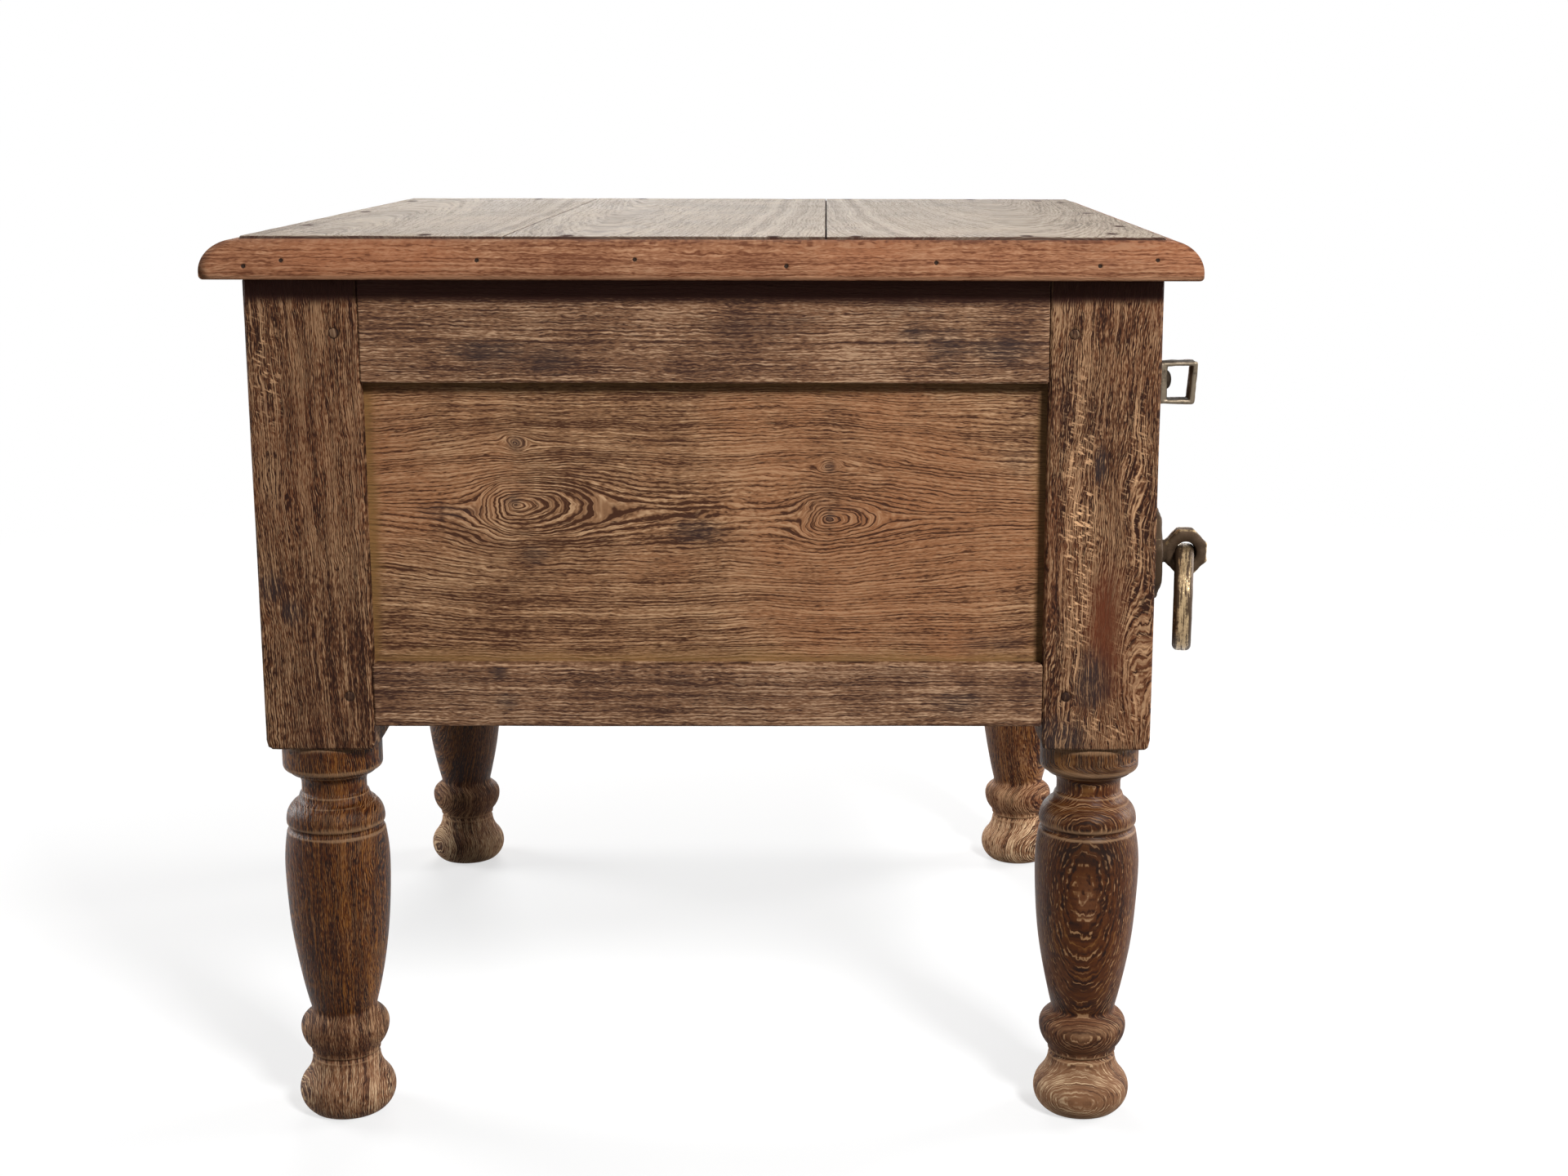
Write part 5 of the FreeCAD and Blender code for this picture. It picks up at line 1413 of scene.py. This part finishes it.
def make_ring(label, sign, finish):
    """The heavy ring: a rounded section carried round, thinned by wear where it hangs in the eye, with a
    painted highlight down the middle of its band.
    """
    low, high = box_corners(f"ring_{label}")
    mean = RING_RADIUS - RING_THICK / 2
    turn = circle(RING_COLUMNS)
    side, out = rounded_section(RING_BAND / 2, RING_THICK / 2, RING_CORNER, 8).T
    at_top = np.exp(-((np.angle(np.exp(1j * (turn - np.pi / 2)))) / 0.35) ** 2)
    radius = mean + out[None] * (1 - 0.05 * at_top[:, None])
    points, quads = carried_round(turn, (radius, side))
    dent = hammer_marks(points, 11 * MM, 740 + sign, 0.12 * MM)
    from_middle = np.linalg.norm(points[:, :2], axis=1)
    outwards = from_middle - mean
    shrink = 1 - dent / np.maximum(np.hypot(outwards, points[:, 2]), MM)
    points[:, :2] *= ((mean + outwards * shrink) / from_middle)[:, None]
    points[:, 2] *= shrink
    skew = math.radians(RING_SKEW * sign)
    centre = (low + high) / 2
    row = np.stack([centre[0] + points[:, 0] * math.cos(skew) + points[:, 2] * math.sin(skew),
                    centre[1] + points[:, 0] * math.sin(skew) - points[:, 2] * math.cos(skew),
                    centre[2] + points[:, 1]], axis=1)
    # painted highlight: a bright band down the middle of the ring and dark corners, kept as its edge number
    middle = np.clip(1 - (points[:, 2] / (RING_BAND * 0.36)) ** 2, -0.6, 1)
    piece = make_piece(f"ring_{label}_worn", [(row, quads)], edge=middle, side=points[:, 2])
    dress(piece, finish, "worn_brass", f"ring_{label}")


class LOWBOY_OT_pulls(Operator):
    """Make the two pulls: plate, knob and ring"""
    bl_idname = "lowboy.pulls"
    bl_label = "Ring pulls"

    def execute(self, context):
        metals = context.scene.lowboy_metal
        plate = forged("plate_brass", metals.brass, metals.brass_dark, bright=0.05, roughness=0.6)
        knob = forged("knob_brass", metals.brass, metals.brass_dark, bright=0.15, roughness=0.5)
        ring = forged("ring_brass", metals.brass, metals.brass_dark, bright=0.34, roughness=0.38,
                      streaks=True)
        for label, sign in (("left", -1), ("right", 1)):
            make_plate(label, sign, plate)
            make_knob(label, sign, knob)
            make_ring(label, sign, ring)
        return {"FINISHED"}


def make_staple(label, sign, iron):
    """A staple: a strap whose section is carried round between an outer and an inner rounded outline,
    dented towards its middle by the waves."""
    low, high = box_corners(f"staple_{label}")
    middle = (low + high) / 2
    reach, half, wide = high[1] - low[1], (high[2] - low[2]) / 2, (high[0] - low[0]) / 2
    corner = 0.7 * MM
    outer = rounded_loop([(0, -half * 0.96), (0, half * 0.94), (reach, half), (reach * 0.94, -half)],
                         2.4 * MM)
    inner = rounded_loop([(6.4 * MM, -half + 3.0 * MM), (6.4 * MM, half - 3.2 * MM),
                          (reach - 3.4 * MM, half - 2.8 * MM), (reach * 0.94 - 3.6 * MM, -half + 3.2 * MM)],
                         0.9 * MM)
    # the strap's section: share of the way from the inner to the outer loop, and the place across
    outside = np.array([0, 0.12, 0.88, 1, 1, 1, 0.88, 0.12, 0, 0])
    side = np.array([corner - wide, -wide, -wide, corner - wide, 0,
                     wide - corner, wide, wide, wide - corner, 0])
    loop = inner[:, None] + (outer - inner)[:, None] * outside[None, :, None]
    points = np.stack([np.broadcast_to(side, loop.shape[:2]), loop[..., 0], loop[..., 1]], axis=-1)
    points = points.reshape(-1, 3)
    dent = np.abs(waves(points, 7 * MM, 800 + sign) * 0.26 * MM) + 0.05 * MM
    away = points - (0, reach / 2, 0)
    points = points - away / np.linalg.norm(away, axis=1, keepdims=True) * dent[:, None]
    row = np.stack([middle[0] + points[:, 0], high[1] - points[:, 1], middle[2] + points[:, 2]], axis=1)
    edge = (np.abs(np.abs(points[:, 0]) - wide) < 1.1 * MM) * 1.0
    piece = make_piece(f"staple_{label}_worn", [(row, tube_quads(*loop.shape[:2]))], edge=edge)
    dress(piece, iron, "forged_iron", f"staple_{label}")


def make_rivet(label, sign, iron):
    """A staple's rivet: a domed head, a little out of round."""
    low, high = box_corners(f"staple_rivet_{label}")
    staple_low, staple_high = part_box(f"staple_{label}")
    proud = 3.4
    head = np.array([(0.0, -3.0), (6.3, -3.0), (6.5, 0.3), (5.8, 1.5), (4.2, 2.6), (2.2, 3.2),
                     (0.0, proud)])
    dome, faces = lathe(softened(head * MM, 0.5 * MM, 1), 40)
    dome[:, :2] *= (1 - np.clip(waves(dome, 7 * MM, 820 + sign), -1, 1) * 0.03)[:, None] * 0.98
    dome[:, 2] *= 0.97
    place = ((staple_low.x + staple_high.x) / 2, low[1] + proud * MM, (low[2] + high[2]) / 2)
    piece = make_piece(f"staple_rivet_{label}_worn", [(facing_out(place, dome), faces)])
    dress(piece, iron, "forged_iron", f"staple_rivet_{label}")


class LOWBOY_OT_staples(Operator):
    """Make the two forged staples and their rivets"""
    bl_idname = "lowboy.staples"
    bl_label = "Staples"

    def execute(self, context):
        metals = context.scene.lowboy_metal
        iron = forged("staple_iron", metals.iron, metals.iron_dark, bright=0.3, roughness=0.55)
        for label, sign in (("left", -1), ("right", 1)):
            make_staple(label, sign, iron)
            make_rivet(label, sign, iron)
        return {"FINISHED"}


# ------------------------------------------------------------------ the stage
# each lamp faces this point; the floor turns white between two distances from the middle
LIT_POINT = (0, 0, 0.35)
FLOOR_RADIUS, FLOOR_FADES, FLOOR_WHITE = 9, 0.8, 2.4
SENSOR_WIDTH = 36
PICTURE_HEIGHT = 1440 / 1920


class LOWBOY_OT_stage(Operator):
    """Make the floor, the soft lights, the surround and the camera"""
    bl_idname = "lowboy.stage"
    bl_label = "Stage"

    def execute(self, context):
        stage = context.scene.lowboy_stage
        self.make_floor()
        self.make_world(stage.sky)
        self.make_lamp("key_light", (-2.3, -1.2, 2.0), 0.55, stage.key)
        self.make_lamp("fill_light", (-2.2, 1.9, 1.3), 1.8, stage.fill)
        self.make_lamp("front_light", (0.9, -2.8, 1.0), 1.5, stage.around)
        self.make_lamp("back_light", (0.9, 2.8, 1.0), 1.5, stage.around)
        self.make_lamp("right_light", (2.9, 0.3, 1.0), 1.5, stage.around)
        self.make_camera(stage)
        context.scene.view_settings.view_transform = "Standard"
        return {"FINISHED"}

    def make_floor(self):
        """A wide disc at the feet, pale, turning into plain white further out."""
        turn = circle(64)
        points = np.stack([np.cos(turn), np.sin(turn), np.zeros(64)], axis=1) * FLOOR_RADIUS
        floor = make_piece("floor", [(points, [list(range(64))])])
        look = Finish("floor_paper")
        far = look.rise(look.size_of(look.place), FLOOR_FADES, FLOOR_WHITE)
        path = look.add("ShaderNodeLightPath")
        glossy, through = path.outputs["Is Glossy Ray"], path.outputs["Is Transmission Ray"]
        seen = look.math("MAXIMUM", path.outputs["Is Camera Ray"], look.math("MAXIMUM", glossy, through))
        look.feed(look.shader.inputs["Base Color"], look.mix(seen, (0.12, 0.12, 0.12), (0.8, 0.8, 0.8)))
        look.shader.inputs["Roughness"].default_value = 0.9
        white = look.add("ShaderNodeEmission")
        blend = look.add("ShaderNodeMixShader")
        look.feed(blend.inputs[0], look.times(seen, look.spread(far, 0.0, 1.0, 0.6, 1.0)))
        look.feed(blend.inputs[1], look.shader.outputs[0])
        look.feed(blend.inputs[2], white.outputs[0])
        look.feed(look.tree.nodes["Material Output"].inputs["Surface"], blend.outputs[0])
        floor.data.materials.append(look.material)

    def make_world(self, strength):
        """Even light from all round, white where it is seen straight or in metal."""
        world = bpy.data.worlds.new("surround")
        bpy.context.scene.world = world
        world.use_nodes = True
        tree = world.node_tree
        background = tree.nodes["Background"]
        path = tree.nodes.new("ShaderNodeLightPath")
        seen = tree.nodes.new("ShaderNodeMath")
        seen.operation = "MAXIMUM"
        tree.links.new(path.outputs["Is Camera Ray"], seen.inputs[0])
        tree.links.new(path.outputs["Is Glossy Ray"], seen.inputs[1])
        level = tree.nodes.new("ShaderNodeMapRange")
        tree.links.new(seen.outputs[0], level.inputs["Value"])
        level.inputs["To Min"].default_value = strength
        level.inputs["To Max"].default_value = 1.0
        tree.links.new(level.outputs[0], background.inputs["Strength"])
        background.inputs["Color"].default_value = (1, 1, 1, 1)

    def make_lamp(self, name, place, size, watts):
        """A square soft light that faces the middle of the case."""
        lamp = bpy.data.lights.new(name, "AREA")
        lamp.size = size
        lamp.energy = watts
        holder = bpy.data.objects.new(name, lamp)
        bpy.context.scene.collection.objects.link(holder)
        holder.location = place
        holder.rotation_mode = "QUATERNION"
        holder.rotation_quaternion = (Vector(LIT_POINT) - Vector(place)).to_track_quat("-Z", "Y")

    def make_camera(self, stage):
        """A camera placed by pitch, yaw and roll, its window moved so that the case fills the picture."""
        pitch, yaw, roll = stage.camera_pitch, stage.camera_yaw, stage.camera_roll
        forward = Vector((math.cos(yaw) * math.cos(pitch), -math.sin(yaw) * math.cos(pitch),
                          -math.sin(pitch)))
        level = Vector((-math.sin(yaw), -math.cos(yaw), 0))
        upright = level.cross(forward)
        right = level * math.cos(roll) + upright * math.sin(roll)
        up = right.cross(forward)
        data = bpy.data.cameras.new("camera")
        data.sensor_width = SENSOR_WIDTH
        data.lens = stage.focal * SENSOR_WIDTH
        data.shift_x = 0.5 - stage.centre_x
        data.shift_y = stage.centre_y - PICTURE_HEIGHT / 2
        camera = bpy.data.objects.new("camera", data)
        bpy.context.scene.collection.objects.link(camera)
        turned = Matrix((right, up, -forward)).transposed().to_4x4()
        camera.matrix_world = Matrix.Translation(stage.camera_place) @ turned
        bpy.context.scene.camera = camera


PIECES = (LOWBOY_OT_legs, LOWBOY_OT_rails, LOWBOY_OT_panels, LOWBOY_OT_pegs, LOWBOY_OT_boards,
          LOWBOY_OT_mouldings, LOWBOY_OT_drawer_front, LOWBOY_OT_inside, LOWBOY_OT_pulls,
          LOWBOY_OT_staples, LOWBOY_OT_stage)


class LOWBOY_PT_pieces(Panel):
    """The pieces of the lowboy, one button each"""
    bl_idname = "LOWBOY_PT_pieces"
    bl_label = "Lowboy"
    bl_space_type = "VIEW_3D"
    bl_region_type = "UI"
    bl_category = "Lowboy"

    def draw(self, context):
        for piece in PIECES:
            self.layout.operator(piece.bl_idname)


GROUPS = {"lowboy_timber": TimberColours, "lowboy_metal": MetalColours, "lowboy_wear": WearSizes,
          "lowboy_stage": StageSizes}


def register():
    for item in (*GROUPS.values(), *PIECES, LOWBOY_PT_pieces):
        bpy.utils.register_class(item)
    for name, group in GROUPS.items():
        setattr(bpy.types.Scene, name, PointerProperty(type=group))


def unregister():
    for name in GROUPS:
        delattr(bpy.types.Scene, name)
    for item in reversed((*GROUPS.values(), *PIECES, LOWBOY_PT_pieces)):
        bpy.utils.unregister_class(item)


def main():
    """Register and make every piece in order."""
    register()
    for piece in PIECES:
        group, name = piece.bl_idname.split(".")
        getattr(getattr(bpy.ops, group), name)()


if __name__ == "__main__":
    main()
